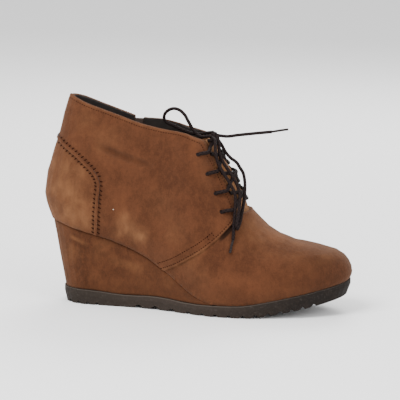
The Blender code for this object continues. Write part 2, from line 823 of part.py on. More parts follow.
def knot():
    """Lump of the bow: a band of lace wrapped round the roots of the loops."""
    axis = Vector(KNOT_AXIS).normalized()
    turn = axis.to_track_quat("Z", "Y").to_matrix().to_4x4()
    place = Matrix.Translation(KNOT) @ turn
    core = bmesh.new()
    bmesh.ops.create_uvsphere(core, u_segments=10, v_segments=6, radius=1)
    stretch = Matrix.Diagonal((KNOT_HALF, KNOT_HALF, KNOT_LONG, 1))
    bmesh.ops.transform(core, matrix=place @ stretch, verts=core.verts)
    made = add("lace_knot", core, LACE_MATERIAL)
    band = bmesh.new()
    rings = []
    for i in range(12):
        angle = 2 * math.pi * i / 12
        outward = Vector((math.cos(angle), math.sin(angle), 0))
        lean = 0.0006 * math.cos(angle)
        middle = outward * KNOT_HALF + Vector((0, 0, lean))
        rings.append([
            band.verts.new(middle + (outward * math.cos(a) + Vector((0, 0, math.sin(a)))) * LACE / 2)
            for a in [2 * math.pi * k / 6 for k in range(6)]
        ])
    for i in range(12):
        low, high = rings[i], rings[(i + 1) % 12]
        for k in range(6):
            band.faces.new((low[k], low[(k + 1) % 6], high[(k + 1) % 6], high[k]))
    bmesh.ops.transform(band, matrix=place, verts=band.verts)
    boolean(made, add("knot_band", band, helper=True), "UNION")


def laces():
    for row in range(len(hole_places())):
        last = row + 1 == len(hole_places())
        lace_cross("lace_top" if last else f"lace_cross_{row + 1}", row)
    knot()
    cord("lace_loop_back", LOOP_BACK, LACE, LACE_MATERIAL, LACE_STEP)
    cord("lace_loop_front", LOOP_FRONT, LACE, LACE_MATERIAL, LACE_STEP)
    cord("lace_end_down", END_DOWN, LACE, LACE_MATERIAL, LACE_STEP)
    cord("lace_end_out", END_OUT, LACE, LACE_MATERIAL, LACE_STEP)
    cord("lace_tip_down", TIP_DOWN, TIP, LACE_MATERIAL, LACE_STEP)
    cord("lace_tip_out", TIP_OUT, TIP, LACE_MATERIAL, LACE_STEP)


# Zip
def inner_collar(x):
    return collar(x) + inner_rise(x)


def zip_place():
    """Matrix from the slider's own axes (forward, up, outward) to the boot."""
    z = float(inner_collar(ZIP_X)) - SLIDER_DROP
    origin, outward = skin(ZIP_X, z, 1, -CHAIN_SINK)
    up = Vector((0, 0, 1))
    up = (up - outward * up.dot(outward)).normalized()
    forward = outward.cross(up)
    turn = Matrix((forward, up, outward)).transposed().to_4x4()
    return Matrix.Translation(origin) @ turn


def slab(points, low, high, order):
    """Flat outline drawn out from low to high; order says which axes the three values are."""
    shape = bmesh.new()

    def at(a, b, c):
        values = {order[0]: a, order[1]: b, order[2]: c}
        return Vector((values["forward"], values["up"], values["outward"]))

    rings = [[shape.verts.new(at(a, b, c)) for a, b in points] for c in (low, high)]
    for k in range(len(points)):
        j = (k + 1) % len(points)
        shape.faces.new((rings[0][k], rings[0][j], rings[1][j], rings[1][k]))
    shape.faces.new(rings[0])
    shape.faces.new(rings[1])
    bmesh.ops.transform(shape, matrix=zip_place(), verts=shape.verts)
    return shape


def mirrored(table, half, length):
    right = [(a * half, u * length) for a, u in table[1:]]
    return right + [(-a, u) for a, u in right[::-1]]


def zip_closure():
    made = form(-CHAIN_SINK, CHAIN_THICK, "zip_chain")
    made.data.materials.append(METAL_MATERIAL)
    PARTS.objects.link(made)
    top = float(inner_collar(ZIP_X)) - CHAIN_SHORT
    band = zip_band(ZIP_SLOT - 2 * GAP, ZIP_FOOT + GAP, top)
    boolean(made, add("chain_area", band, helper=True), "INTERSECT")

    face = GAP + SLIDER_THICK
    flat = ("forward", "up", "outward")
    body = slab(mirrored(SLIDER_EDGE, SLIDER_WIDE / 2, SLIDER_LONG), GAP, face, flat)
    slider = add("zip_slider", body, METAL_MATERIAL)
    roof = face + BRIDGE_ROOM
    top = roof + BRIDGE_THICK
    thick = BRIDGE_THICK
    arch = [
        (BRIDGE_FOOT, face - thick), (BRIDGE_FOOT, roof), (BRIDGE_FOOT + thick, top),
        (BRIDGE_HEAD - thick, top), (BRIDGE_HEAD, roof), (BRIDGE_HEAD, face - thick),
        (BRIDGE_HEAD - thick, face - thick), (BRIDGE_HEAD - thick, roof),
        (BRIDGE_FOOT + thick, roof), (BRIDGE_FOOT + thick, face - thick),
    ]
    half = BRIDGE_WIDE / 2
    bridge = slab(arch, -half, half, ("up", "outward", "forward"))
    boolean(slider, add("zip_bridge", bridge, helper=True), "UNION")

    pivot = face + BRIDGE_ROOM / 2
    low, high = pivot - PULL_THICK / 2, pivot + PULL_THICK / 2
    bar_top = PIVOT_UP + PULL_BAR / 2
    edge = [(a, bar_top + u) for a, u in mirrored(PULL_EDGE, PULL_WIDE / 2, PULL_LONG)]
    pull = add("zip_pull", slab(edge, low, high, flat), METAL_MATERIAL)
    window_top = bar_top - PULL_BAR
    half = WINDOW_WIDE / 2
    window = [
        (-half, window_top), (half, window_top), (half, window_top - WINDOW_LONG * 0.85),
        (half * 0.5, window_top - WINDOW_LONG), (-half * 0.5, window_top - WINDOW_LONG),
        (-half, window_top - WINDOW_LONG * 0.85),
    ]
    hole = slab(window, low - PULL_THICK, high + PULL_THICK, flat)
    boolean(pull, add("pull_window", hole, helper=True), "DIFFERENCE")
    hinge = zip_place() @ Vector((0, PIVOT_UP, pivot)) - Vector((ORIGIN_X, 0, 0))
    print("pull hinge", list(hinge), list(zip_place().to_3x3().col[0]))


# Outsole
def tread_line():
    """Bottom edge of the outsole, with its rows of ripple lugs."""
    lug = ((0.00, 0.0), (0.44, 0.0), (0.57, 0.22), (0.66, 0.70), (0.74, 1.0), (0.86, 0.80))
    points = [(-0.03, 0.0)]
    for start, pitch, count in TREAD[1:]:
        for i in range(int(count)):
            for part, depth in lug:
                x = LENGTH * (start + pitch * (i + part))
                points.append((x, float(floor_line(x)) + LUG_DEPTH * depth))
        x = LENGTH * (start + pitch * count)
        points.append((x, float(floor_line(x))))
    last = points[-1][0]
    for x in np.linspace(last + 0.006, LENGTH + 0.02, 6):
        points.append((float(x), float(floor_line(x))))
    clean = [points[0]]
    for x, z in points[1:]:
        if x > clean[-1][0] + 0.0005:
            clean.append((x, z))
    return clean


def outsole():
    spare = 0.0015  # trimmed off by the tread's cutter
    inset = 0.0022

    def ring(share, height):
        edge = inset * (1 - share)
        return outline(
            SOLE_BACK - edge,
            SOLE_TOE - edge * 1.6,
            lambda x: half_width(x) * section("ground", x) - edge,
            height,
            side_shift,
        )

    rings = [
        ring(0.0, lambda x: floor_line(x) - spare),
        ring(0.55, lambda x: floor_line(x) + 0.3 * (sole_top(x) - floor_line(x))),
        ring(1.0, lambda x: floor_line(x) + 0.62 * (sole_top(x) - floor_line(x))),
        ring(1.0, lambda x: sole_top(x) - 0.0006),
        ring(0.75, sole_top),
    ]
    made = add("outsole", stack(rings), SOLE_MATERIAL)
    line = tread_line()
    below = [(line[-1][0], -0.03), (line[0][0], -0.03)]
    boolean(made, add("tread_cut", prism(line + below), helper=True), "DIFFERENCE")
    return made


def wedge():
    tip = WEDGE_TIP * LENGTH
    top_reach = HEEL_REACH * smooth(column(BACK_LINE, "up"), column(BACK_LINE, "reach"), 0.0)
    inset = 0.0010

    def ring(share):
        def width(x):
            low = section("ground", x) * half_width(x) - inset
            high = section("tuck", x) * half_width(x)
            return low + (high - low) * share

        back = (SOLE_BACK - inset) * (1 - share) + top_reach * share
        low = outline(back, 0, width, lambda x: sole_top(x) + GAP, side_shift, last=tip)
        high = outline(back, 0, width, feather, side_shift, last=tip)
        return [a.lerp(b, share) for a, b in zip(low, high)]

    return add("wedge", stack([ring(s) for s in (0.0, 0.25, 0.5, 0.75, 1.0)]), SUEDE_MATERIAL)


def insole():
    inset = WALL + 0.0010
    back = HEEL_REACH * smooth(column(BACK_LINE, "up"), column(BACK_LINE, "reach"), 0.0)
    toe = TOE_REACH * smooth(column(TOE_LINE, "up"), column(TOE_LINE, "reach"), 0.0)

    def ring(rise):
        return outline(
            back - inset,
            toe - inset,
            lambda x: section("tuck", x) * half_width(x) - inset,
            lambda x: feather(x) + 2 * GAP + rise,
            side_shift,
        )

    return add("insole", stack([ring(0.0), ring(INSOLE_THICK)]), LINING_MATERIAL)


def upper():
    """One hollow wall with the quarter's step and the counter's raised seam on it."""
    made = form(0.0, WALL, "upper")
    made.data.materials.append(SUEDE_MATERIAL)
    PARTS.objects.link(made)
    root = WALL / 2
    lap = as_helper(form(OVERLAY, OVERLAY + root, "quarter_form"))
    boolean(lap, quarter_area(), "INTERSECT")
    seam = as_helper(form(OVERLAY + RIDGE, OVERLAY + RIDGE + root * 0.8, "seam_form"))
    boolean(seam, seam_band(), "INTERSECT")
    boolean(made, lap, "UNION")
    boolean(made, seam, "UNION")
    boolean(made, above_collar("above_outer_collar", False), "DIFFERENCE")
    boolean(made, above_collar("above_inner_collar", True), "DIFFERENCE")
    boolean(made, below_feather(), "DIFFERENCE")
    slot = add("zip_slot", zip_band(ZIP_SLOT, ZIP_FOOT, 0.25), helper=True)
    boolean(made, slot, "DIFFERENCE")
    for row, (x, z) in enumerate(hole_places()):
        for side in (-1, 1):
            point, normal = skin(x, z, side)
            hole = drill(point, normal, LACE_HOLE, 0.012, f"hole_{row}_{(side + 1) // 2}")
            boolean(made, hole, "DIFFERENCE")
    return made


def tongue():
    made = form(-(WALL + GAP), TONGUE_THICK, "tongue")
    made.data.materials.append(TONGUE_MATERIAL)
    PARTS.objects.link(made)
    behind = 0.011  # how far it runs back under the facings
    facing = facing_edge(12)
    back = [(x - behind, z) for x, z in facing]
    foot = facing[-1][1] - 0.010
    top = facing[0][1] - TONGUE_SHORT
    back = [(back[0][0], top)] + [(x, z) for x, z in back if z < top]
    line = back + [(back[-1][0], foot), (0.30, foot), (0.30, top)]
    boolean(made, add("tongue_area", prism(line), helper=True), "INTERSECT")
    return made


outsole()
wedge()
upper()
tongue()
insole()
zip_closure()
laces()
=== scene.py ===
# %% [markdown]
# # Suede lace-up ankle boot on a wedge
# This is a right boot: a soft suede upper on a covered wedge, a rubber sole with ripple lugs,
# one round lace tied in a bow, and a short zip on the inner side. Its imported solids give
# every place and size, in metres, with the floor at z = 0, the heel's centre at the origin
# and the toe along +x. The boot could be modelled afresh, but it would then drift from its
# solids. So the scene dresses them instead: it cuts copies of them finer, adds what is too
# small for a solid, and gives each surface its finish.

# %% Load the fixed frame
import math

import bmesh
import bpy
import numpy as np
from mathutils import Matrix, Vector, noise
from mathutils.bvhtree import BVHTree
from mathutils.kdtree import KDTree


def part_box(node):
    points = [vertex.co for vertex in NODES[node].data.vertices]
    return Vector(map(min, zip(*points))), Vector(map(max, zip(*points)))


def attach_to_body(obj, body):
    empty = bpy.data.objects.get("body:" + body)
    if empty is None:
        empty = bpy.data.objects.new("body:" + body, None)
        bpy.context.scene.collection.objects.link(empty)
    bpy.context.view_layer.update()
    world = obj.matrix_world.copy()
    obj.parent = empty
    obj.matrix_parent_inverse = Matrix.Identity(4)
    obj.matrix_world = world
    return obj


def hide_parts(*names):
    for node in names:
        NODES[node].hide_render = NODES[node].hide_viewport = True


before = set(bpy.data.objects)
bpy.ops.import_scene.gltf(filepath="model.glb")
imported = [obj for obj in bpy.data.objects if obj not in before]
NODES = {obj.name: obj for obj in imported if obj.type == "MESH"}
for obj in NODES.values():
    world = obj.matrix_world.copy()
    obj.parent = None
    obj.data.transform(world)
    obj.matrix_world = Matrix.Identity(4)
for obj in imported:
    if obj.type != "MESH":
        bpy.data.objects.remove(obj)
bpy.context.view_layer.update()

# %% [markdown]
# A boot is shown best from its outer side and slightly above the ankle. A wide lens close by
# would swell the toe, so the camera stands two metres off with a long lens, which keeps the
# proportions of a side view. It is turned a little towards the toe and rolled by less than
# one degree. Its place, roll and shift are set by numbers, so that every run frames the
# boot in the same way.

# %% Camera
TARGET = Vector((0.088, 0.0, 0.088))
CAMERA_PLACE = Vector((0.50225, -1.92446, 0.44133))
ROLL = math.radians(0.69)
LENS_MM, FILM_MM = 211.1, 36
SHIFT_RIGHT, SHIFT_UP = -0.0005, 0.0089
ahead = (TARGET - CAMERA_PLACE).normalized()
level = ahead.cross(Vector((0, 0, 1))).normalized()
above = level.cross(ahead)
right = level * math.cos(ROLL) + above * math.sin(ROLL)
upward = above * math.cos(ROLL) - level * math.sin(ROLL)
camera_data = bpy.data.cameras.new("camera")
camera_data.lens, camera_data.sensor_width = LENS_MM, FILM_MM
camera_data.shift_x, camera_data.shift_y = SHIFT_RIGHT, SHIFT_UP
camera = bpy.data.objects.new("camera", camera_data)
turn = Matrix((right, upward, -ahead)).transposed().to_4x4()
camera.matrix_world = Matrix.Translation(CAMERA_PLACE) @ turn
bpy.context.scene.collection.objects.link(camera)
bpy.context.scene.camera = camera
print("camera", round((TARGET - CAMERA_PLACE).length, 3), "m from the boot")


# %% [markdown]
# Suede, braid and rubber all get their look from node maths. The nodes could be added one by
# one, but a long pattern would be hard to read. A small class wraps one output socket
# instead, so that a pattern can be written as it is thought of, with plus, minus and times.

# %% Node maths
class Wire:
    """One output socket of a material, with arithmetic."""

    def __init__(self, tree, socket):
        self.tree, self.socket = tree, socket

    def node(self, kind, settings, **values):
        """Adds a node: type, settings, then values or links by socket name or number."""
        made = self.tree.nodes.new(kind)
        for key, value in settings.items():
            setattr(made, key, value)
        for key, value in values.items():
            number = key[1:] if key[0] == "n" else ""
            socket = made.inputs[int(number) if number.isdigit() else key.replace("_", " ")]
            if isinstance(value, Wire):
                self.tree.links.new(value.socket, socket)
            else:
                socket.default_value = value
        return made

    def wire(self, socket):
        return Wire(self.tree, socket)

    def maths(self, operation, *values):
        named = {f"n{i}": value for i, value in enumerate(values)}
        made = self.node("ShaderNodeMath", {"operation": operation}, **named)
        return self.wire(made.outputs[0])

    def __add__(self, other):
        return self.maths("ADD", self, other)

    def __radd__(self, other):
        return self.maths("ADD", other, self)

    def __sub__(self, other):
        return self.maths("SUBTRACT", self, other)

    def __rsub__(self, other):
        return self.maths("SUBTRACT", other, self)

    def __mul__(self, other):
        return self.maths("MULTIPLY", self, other)

    def __rmul__(self, other):
        return self.maths("MULTIPLY", other, self)

    def sine(self):
        return self.maths("SINE", self)

    def span(self, low, high, to_low=0.0, to_high=1.0):
        """Smooth step of the value from low..high to to_low..to_high."""
        made = self.node(
            "ShaderNodeMapRange", {"interpolation_type": "SMOOTHSTEP"},
            Value=self, From_Min=low, From_Max=high, To_Min=to_low, To_Max=to_high,
        )
        return self.wire(made.outputs["Result"])

    def blend(self, first, second):
        """Colour between two colours, with this value as the factor."""
        made = self.node("ShaderNodeMix", {"data_type": "RGBA"}, n0=self, n6=first, n7=second)
        return self.wire(made.outputs[2])


# %% [markdown]
# Every finish of the boot needs the same start: a shader with its roughness, and a place to
# measure patterns from. The patterns are measured in the object's own metres, so that the
# grain keeps its true size on every piece. Only the lace reads its UV map, because its
# braid has to follow it round each bend.

# %% A finish
WARM_SHEEN = (0.80, 0.52, 0.36, 1)


class Finish:
    """A material with object coordinates at hand."""

    def __init__(self, name, roughness, metallic=0.0, sheen=0.0, specular=0.5):
        self.material = bpy.data.materials.new(name)
        self.material.use_nodes = True
        self.tree = self.material.node_tree
        self.shader = self.tree.nodes["Principled BSDF"]
        self.shader.inputs["Roughness"].default_value = roughness
        self.shader.inputs["Metallic"].default_value = metallic
        self.shader.inputs["Specular IOR Level"].default_value = specular
        if sheen:
            self.shader.inputs["Sheen Weight"].default_value = sheen
            self.shader.inputs["Sheen Roughness"].default_value = 0.6
            self.shader.inputs["Sheen Tint"].default_value = WARM_SHEEN
        seed = Wire(self.tree, None)
        place = seed.node("ShaderNodeTexCoord", {})
        self.place = seed.wire(place.outputs["Object"])
        self.uv = seed.wire(place.outputs["UV"])

    def noise(self, scale, detail=2.0, roughness=0.5, where=None):
        made = self.place.node(
            "ShaderNodeTexNoise", {}, Vector=where or self.place,
            Scale=scale, Detail=detail, Roughness=roughness,
        )
        return self.place.wire(made.outputs["Fac"])

    def stretched(self, x, y, z):
        """Object coordinates times a factor along each axis."""
        made = self.place.node(
            "ShaderNodeVectorMath", {"operation": "MULTIPLY"}, n0=self.place, n1=(x, y, z)
        )
        return self.place.wire(made.outputs[0])

    def attribute(self, name):
        made = self.place.node("ShaderNodeAttribute", {"attribute_name": name})
        return self.place.wire(made.outputs["Fac"])

    def axes(self, source=None):
        made = self.place.node("ShaderNodeSeparateXYZ", {}, Vector=source or self.place)
        return [self.place.wire(out) for out in made.outputs]

    def colour(self, value):
        self.tree.links.new(value.socket, self.shader.inputs["Base Color"])

    def rough(self, value):
        self.tree.links.new(value.socket, self.shader.inputs["Roughness"])

    def bump(self, height, distance, strength=1.0):
        made = self.place.node(
            "ShaderNodeBump", {}, Strength=strength, Distance=distance, Height=height
        )
        self.tree.links.new(made.outputs["Normal"], self.shader.inputs["Normal"])


# %% [markdown]
# Suede is leather whose fibres are raised into a short nap. It could be covered with real
# hairs, but at this size they are finer than a pixel, so the nap is a pattern: clouds where
# the fibres lie another way, brushed streaks, fine grain and dark flecks. Two attributes
# come from the mesh: "worn" turns the nap pale where it is rubbed, and "shade" darkens it
# with painted shade in creases, beside seams, under the quarter's edge and at the toe, and in
# a darker band and faint patches on the wedge. One recipe serves the upper, the wedge's cover
# and the tongue.

# %% Suede
def suede(name, colour, dark, pale, cloud=1.0):
    made = Finish(name, 0.95, sheen=0.11, specular=0.08)
    clouds = made.noise(26, 3, 0.6)
    nap = made.noise(1.0, 3, 0.6, made.stretched(330, 330, 210))
    brushed = made.noise(1.0, 3, 0.55, made.stretched(75, 75, 52))
    grain = made.noise(1500, 2, 0.7)
    flecks = made.noise(650, 1, 0.5)
    worn, shade = made.attribute("worn"), made.attribute("shade")
    bright = tuple(1.7 * v for v in colour[:3]) + (1,)
    shade_colour = tuple(0.22 * v for v in dark[:3]) + (1,)
    tone = clouds.span(0.36, 0.62).blend(dark, colour)
    tone = (nap.span(0.38, 0.72) * 0.30 * cloud).blend(tone, bright)
    tone = (brushed.span(0.42, 0.76) * 0.36 * cloud).blend(tone, bright)
    tone = (grain.span(0.40, 0.70) * 0.30).blend(tone, bright)
    tone = (flecks.span(0.56, 0.72) * 0.30).blend(tone, dark)
    rubbed = worn * (brushed.span(0.30, 0.75) + 0.45 * nap + 0.35)
    tone = rubbed.maths("MINIMUM", rubbed, 0.85).blend(tone, pale)
    # painted shade: where "shade" is high the nap turns towards a deep, dark brown
    made.colour(shade.blend(tone, shade_colour))
    made.bump(grain * 0.5 + flecks * 0.4 + nap * 0.9 + brushed * 0.9, 0.0005, 0.75)
    return made.material


UPPER_SUEDE = suede(
    "suede_upper", colour=(0.0570, 0.0196, 0.0080, 1),
    dark=(0.0370, 0.0120, 0.0048, 1), pale=(0.150, 0.066, 0.0285, 1),
)
WEDGE_SUEDE = suede(
    "suede_wedge", colour=(0.0480, 0.0162, 0.0062, 1),
    dark=(0.0300, 0.0094, 0.0034, 1), pale=(0.135, 0.056, 0.022, 1), cloud=1.5,
)
TONGUE_SUEDE = suede(
    "suede_tongue", colour=(0.125, 0.056, 0.0225, 1),
    dark=(0.080, 0.034, 0.0130, 1), pale=(0.22, 0.11, 0.048, 1),
)
print("suede nodes", len(UPPER_SUEDE.node_tree.nodes))

# %% [markdown]
# Inside the shaft the boot is lined with thin smooth leather, nearly black. Where the collar
# and the facings are cut, the raw edge shows paler than the dyed suede. Both are plain
# surfaces, so two tones of noise and fine pores are enough for each.

# %% Lining and cut edge
def two_tone(name, roughness, pattern, first, second, **settings):
    """A finish whose colour wanders between two tones with a noise pattern."""
    scale, detail, low, high = pattern
    made = Finish(name, roughness, **settings)
    made.colour(made.noise(scale, detail).span(low, high).blend(first, second))
    return made


lining = two_tone(
    "lining", 0.62, (60, 3, 0.3, 0.7),
    (0.0085, 0.0058, 0.0048, 1), (0.019, 0.0135, 0.011, 1), specular=0.35,
)
lining.bump(lining.noise(900, 3, 0.6), 0.00012, 0.6)
LINING = lining.material
cut_edge = two_tone(
    "leather_edge", 0.92, (700, 3, 0.3, 0.7),
    (0.052, 0.020, 0.009, 1), (0.098, 0.042, 0.019, 1), specular=0.05,
)
cut_edge.bump(cut_edge.noise(1500, 2), 0.0001, 0.6)
CUT_EDGE = cut_edge.material
print("finishes", LINING.name, CUT_EDGE.name)

# %% [markdown]
# The lace is a round braid: two sets of strands wind round it in opposite ways and cross.
# Real braided strands would need a dozen thin tubes in every lace. Seen from a boot's length
# they only make a fine criss-cross, so two sine waves on the UV map give both its colour
# and its height. The tips are the same lace, pressed and glued smooth.

# %% Lace and tips
BRAID_TURN = 6.2832 * 3
BRAID_RISE = 2.2
lace = Finish("lace_braid", 0.80, specular=0.12)
along, around, _ = lace.axes(lace.uv)
leftward = (along * BRAID_RISE + around * BRAID_TURN).sine()
rightward = (along * BRAID_RISE - around * BRAID_TURN).sine()
braid = leftward.maths("MAXIMUM", leftward, rightward)
strand_tone = braid.span(-0.4, 1.0) * 0.75 + lace.noise(420, 2) * 0.25
lace.colour(strand_tone.blend((0.0016, 0.0008, 0.0008, 1), (0.0125, 0.0064, 0.0060, 1)))
lace.bump(braid, 0.00016, 0.8)
LACE = lace.material

tip = two_tone(
    "lace_tip", 0.66, (800, 2, 0.3, 0.7),
    (0.006, 0.0038, 0.0036, 1), (0.021, 0.0150, 0.0142, 1), specular=0.12,
)
tip.bump(tip.noise(500, 2), 0.00008, 0.5)
TIP = tip.material
print("finishes", LACE.name, TIP.name)

# %% [markdown]
# The sole is moulded rubber. It is greyest at the waist, nearly black at the toe, and holds
# pale dust in its grain. One plain grey would look like new plastic, so the colour changes
# along x, and noise at three scales scatters dust, specks and dark pores. The bead on its
# upper edge is the same rubber with more dust.

# %% Rubber
DUST, SPECK, PORE = (0.046, 0.036, 0.030, 1), (0.070, 0.058, 0.050, 1), (0.006, 0.0042, 0.0034, 1)


def rubber(name, heel, waist, toe, dusty):
    """Moulded rubber whose shade changes along the sole, with dust caught in its grain."""
    made = Finish(name, 0.82, specular=0.16)
    forward = made.axes()[0]
    base = forward.span(-0.02, 0.06).blend(heel, waist)
    base = forward.span(0.08, 0.20).blend(base, toe)
    dust = made.noise(150, 4, 0.65)
    speck = made.noise(800, 2, 0.6)
    base = (dust.span(0.48, 0.75) * dusty).blend(base, DUST)
    base = (speck.span(0.56, 0.72) * dusty).blend(base, SPECK)
    made.colour((made.noise(1300, 2).span(0.55, 0.75) * 0.3).blend(base, PORE))
    made.rough(dust.span(0.3, 0.8, 0.72, 0.92))
    made.bump(made.noise(700, 3, 0.6) * 0.6 + dust, 0.00035, 0.7)
    return made.material


RUBBER = rubber(
    "outsole_rubber", heel=(0.0170, 0.0122, 0.0090, 1), waist=(0.0245, 0.0172, 0.0132, 1),
    toe=(0.0062, 0.0038, 0.0026, 1), dusty=0.30,
)
RIM_RUBBER = rubber(
    "outsole_rim", heel=(0.034, 0.026, 0.020, 1), waist=(0.050, 0.038, 0.030, 1),
    toe=(0.018, 0.013, 0.010, 1), dusty=0.55,
)
print("finishes", RUBBER.name, RIM_RUBBER.name)

# %% [markdown]
# The rest are small things: dark red-brown thread, the nickel of the zip with faint wear in
# its shine, and the woven tape that carries the teeth. The tape's weave is two crossed
# waves, which is cheaper than threads and can't be told from them at this size.

# %% Thread, nickel and tape
thread = two_tone(
    "thread", 0.9, (900, 2, 0.35, 0.65),
    (0.0080, 0.0021, 0.0010, 1), (0.021, 0.0062, 0.0028, 1), specular=0.05,
)
thread.bump(thread.noise(2500, 1), 0.0001, 0.5)
THREAD = thread.material

nickel = two_tone(
    "zip_nickel", 0.32, (300, 3, 0.35, 0.7),
    (0.20, 0.19, 0.185, 1), (0.44, 0.43, 0.415, 1), metallic=1.0,
)
nickel.rough(nickel.noise(900, 2).span(0.3, 0.7, 0.24, 0.45))
NICKEL = nickel.material

THREADS_PER_RADIAN = 5200
tape = Finish("zip_tape", 0.85, sheen=0.1, specular=0.25)
forward, _, upright = tape.axes()
weave = (upright * THREADS_PER_RADIAN).sine() * 0.5 + (forward * THREADS_PER_RADIAN).sine() * 0.5
tape.colour(weave.span(-0.8, 0.9).blend((0.018, 0.011, 0.009, 1), (0.050, 0.032, 0.026, 1)))
tape.bump(weave, 0.0001, 0.7)
TAPE = tape.material
print("finishes", THREAD.name, NICKEL.name, TAPE.name)

# %% [markdown]
# The lace is one round cord tied in a bow. One loop falls back over the opening, the other
# hangs down the front beside one end, and the other end is stiff with wax and sticks out.
# A cloth simulation could drop the loops, but they would fall in a new way each time. So
# each free length is a short row of points that it passes through, set clear of the leather,
# and the same rows give the imported solids. Their x counts from the back of the sole.

# %% Routes of the free lace
LACE_WIDE, TIP_WIDE = 0.0028, 0.0020
SHIFT = 0.030
KNOT = (0.1303, -0.0025, 0.1468)
LOOP_BACK = (
    (0.1255, -0.0037, 0.1468), (0.1178, -0.0022, 0.1463), (0.1126, -0.0005, 0.1497),
    (0.1069, 0.0010, 0.1577), (0.1026, 0.0020, 0.1642), (0.0983, 0.0030, 0.1673),
    (0.0930, 0.0042, 0.1682), (0.0879, 0.0055, 0.1662), (0.0844, 0.0068, 0.1620),
    (0.0842, 0.0080, 0.1577), (0.0870, 0.0085, 0.1550), (0.0916, 0.0085, 0.1533),
    (0.0992, 0.0083, 0.1499), (0.1068, 0.0080, 0.1475), (0.1147, 0.0068, 0.1469),
    (0.1207, 0.0047, 0.1483), (0.1262, 0.0022, 0.1494),
)
LOOP_FRONT = (
    (0.1338, -0.0030, 0.1437), (0.1369, -0.0040, 0.1399), (0.1403, -0.0050, 0.1345),
    (0.1452, -0.0060, 0.1295), (0.1502, -0.0058, 0.1260), (0.1530, -0.0050, 0.1215),
    (0.1556, -0.0042, 0.1172), (0.1571, -0.0040, 0.1103), (0.1585, -0.0093, 0.1036),
    (0.1590, -0.0137, 0.0980), (0.1591, -0.0190, 0.0913), (0.1587, -0.0242, 0.0844),
    (0.1582, -0.0292, 0.0780), (0.1574, -0.0345, 0.0743), (0.1574, -0.0372, 0.0785),
    (0.1578, -0.0330, 0.0858), (0.1577, -0.0279, 0.0936), (0.1572, -0.0238, 0.1005),
    (0.1546, -0.0202, 0.1075), (0.1510, -0.0195, 0.1140), (0.1464, -0.0183, 0.1204),
    (0.1413, -0.0171, 0.1268), (0.1374, -0.0154, 0.1350), (0.1362, -0.0112, 0.1412),
    (0.1342, -0.0066, 0.1453),
)
END_DOWN = (
    (0.1302, -0.0076, 0.1462), (0.1328, -0.0126, 0.1455), (0.1342, -0.0180, 0.1412),
    (0.1354, -0.0214, 0.1345), (0.1384, -0.0216, 0.1256), (0.1430, -0.0226, 0.1184),
    (0.1481, -0.0239, 0.1112), (0.1520, -0.0247, 0.1047), (0.1539, -0.0263, 0.0982),
    (0.1543, -0.0292, 0.0911), (0.1544, -0.0316, 0.0838), (0.1543, -0.0342, 0.0758),
    (0.1545, -0.0360, 0.0702), (0.1546, -0.0380, 0.0655),
)
TIP_DOWN = ((0.1546, -0.0382, 0.0651), (0.1539, -0.0405, 0.0607), (0.1532, -0.0427, 0.0554))
END_OUT = (
    (0.1350, -0.0032, 0.1478), (0.1400, -0.0040, 0.1475), (0.1520, -0.0055, 0.1494),
    (0.1655, -0.0068, 0.1515), (0.1803, -0.0080, 0.1536),
)
TIP_OUT = ((0.1807, -0.0080, 0.1537), (0.1875, -0.0086, 0.1552), (0.1945, -0.0092, 0.1565))
print("points of the routes", [len(r) for r in (LOOP_BACK, LOOP_FRONT, END_DOWN, END_OUT)])

# %% [markdown]
# Straight pieces from point to point would give the cord corners. A curve that passes
# through every point with a smooth change of direction is worked out once, at even steps,
# and serves the laces, the rim of the sole and the lines of stitches alike.

# %% Smooth routes
def through(points, spacing):
    """Points at even distances on a smooth curve through the given ones."""
    p = np.array(points)
    run = np.concatenate([[0], np.cumsum(np.linalg.norm(np.diff(p, axis=0), axis=1))])
    slopes = np.gradient(p, run, axis=0)
    at = np.linspace(0, run[-1], max(int(round(run[-1] / spacing)), 2) + 1)
    i = np.clip(np.searchsorted(run, at) - 1, 0, len(run) - 2)
    width = (run[i + 1] - run[i])[:, None]
    t = (at - run[i])[:, None] / width
    rise = p[i + 1] - p[i]
    a = slopes[i] * width - rise
    b = rise - slopes[i + 1] * width
    return [Vector(q) for q in p[i] + t * rise + t * (1 - t) * (a * (1 - t) + b * t)]


def placed(points):
    """The same points with x counted from the heel's centre."""
    return [Vector((x - SHIFT, y, z)) for x, y, z in points]


def length_of(route):
    return sum((b - a).length for a, b in zip(route, route[1:]))


MIDDLE = placed([KNOT])[0]
print("back loop along its points", round(length_of(placed(LOOP_BACK)), 4))

# %% [markdown]
# Every piece of the scene ends in the same way: its mesh becomes an object at the origin with
# its finishes, smooth except at real corners, and is fixed to the boot's body. Where it stands
# for one of the imported solids, that solid is hidden.

# %% Pieces
CORNER = math.radians(40)


def to_object(name, shape, *finishes):
    """Object at the origin from a bmesh, smooth where its faces meet gently."""
    bmesh.ops.recalc_face_normals(shape, faces=shape.faces)
    mesh = bpy.data.meshes.new(name)
    shape.to_mesh(mesh)
    shape.free()
    made = bpy.data.objects.new(name, mesh)
    bpy.context.scene.collection.objects.link(made)
    for finish in finishes:
        mesh.materials.append(finish)
    mesh.polygons.foreach_set("use_smooth", [True] * len(mesh.polygons))
    mesh.set_sharp_from_angle(angle=CORNER)
    print(name, len(mesh.polygons), "faces")
    return made


def attach(made, node=None):
    """Carries a piece on the boot's body, in place of a solid if one is named, which it hides."""
    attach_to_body(made, "root")
    if node:
        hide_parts(node)
    return made


# %% [markdown]
# A lace could be a curve with a round bevel, but its UV would be stretched by each bend. Here
# a circle is extruded step by step along the route instead. Each ring remembers how much
# lace lies behind it and each corner its share of the turn, so the braid keeps its length.

# %% Tube with a braid's UV map
BRAID_LONG = 0.0011


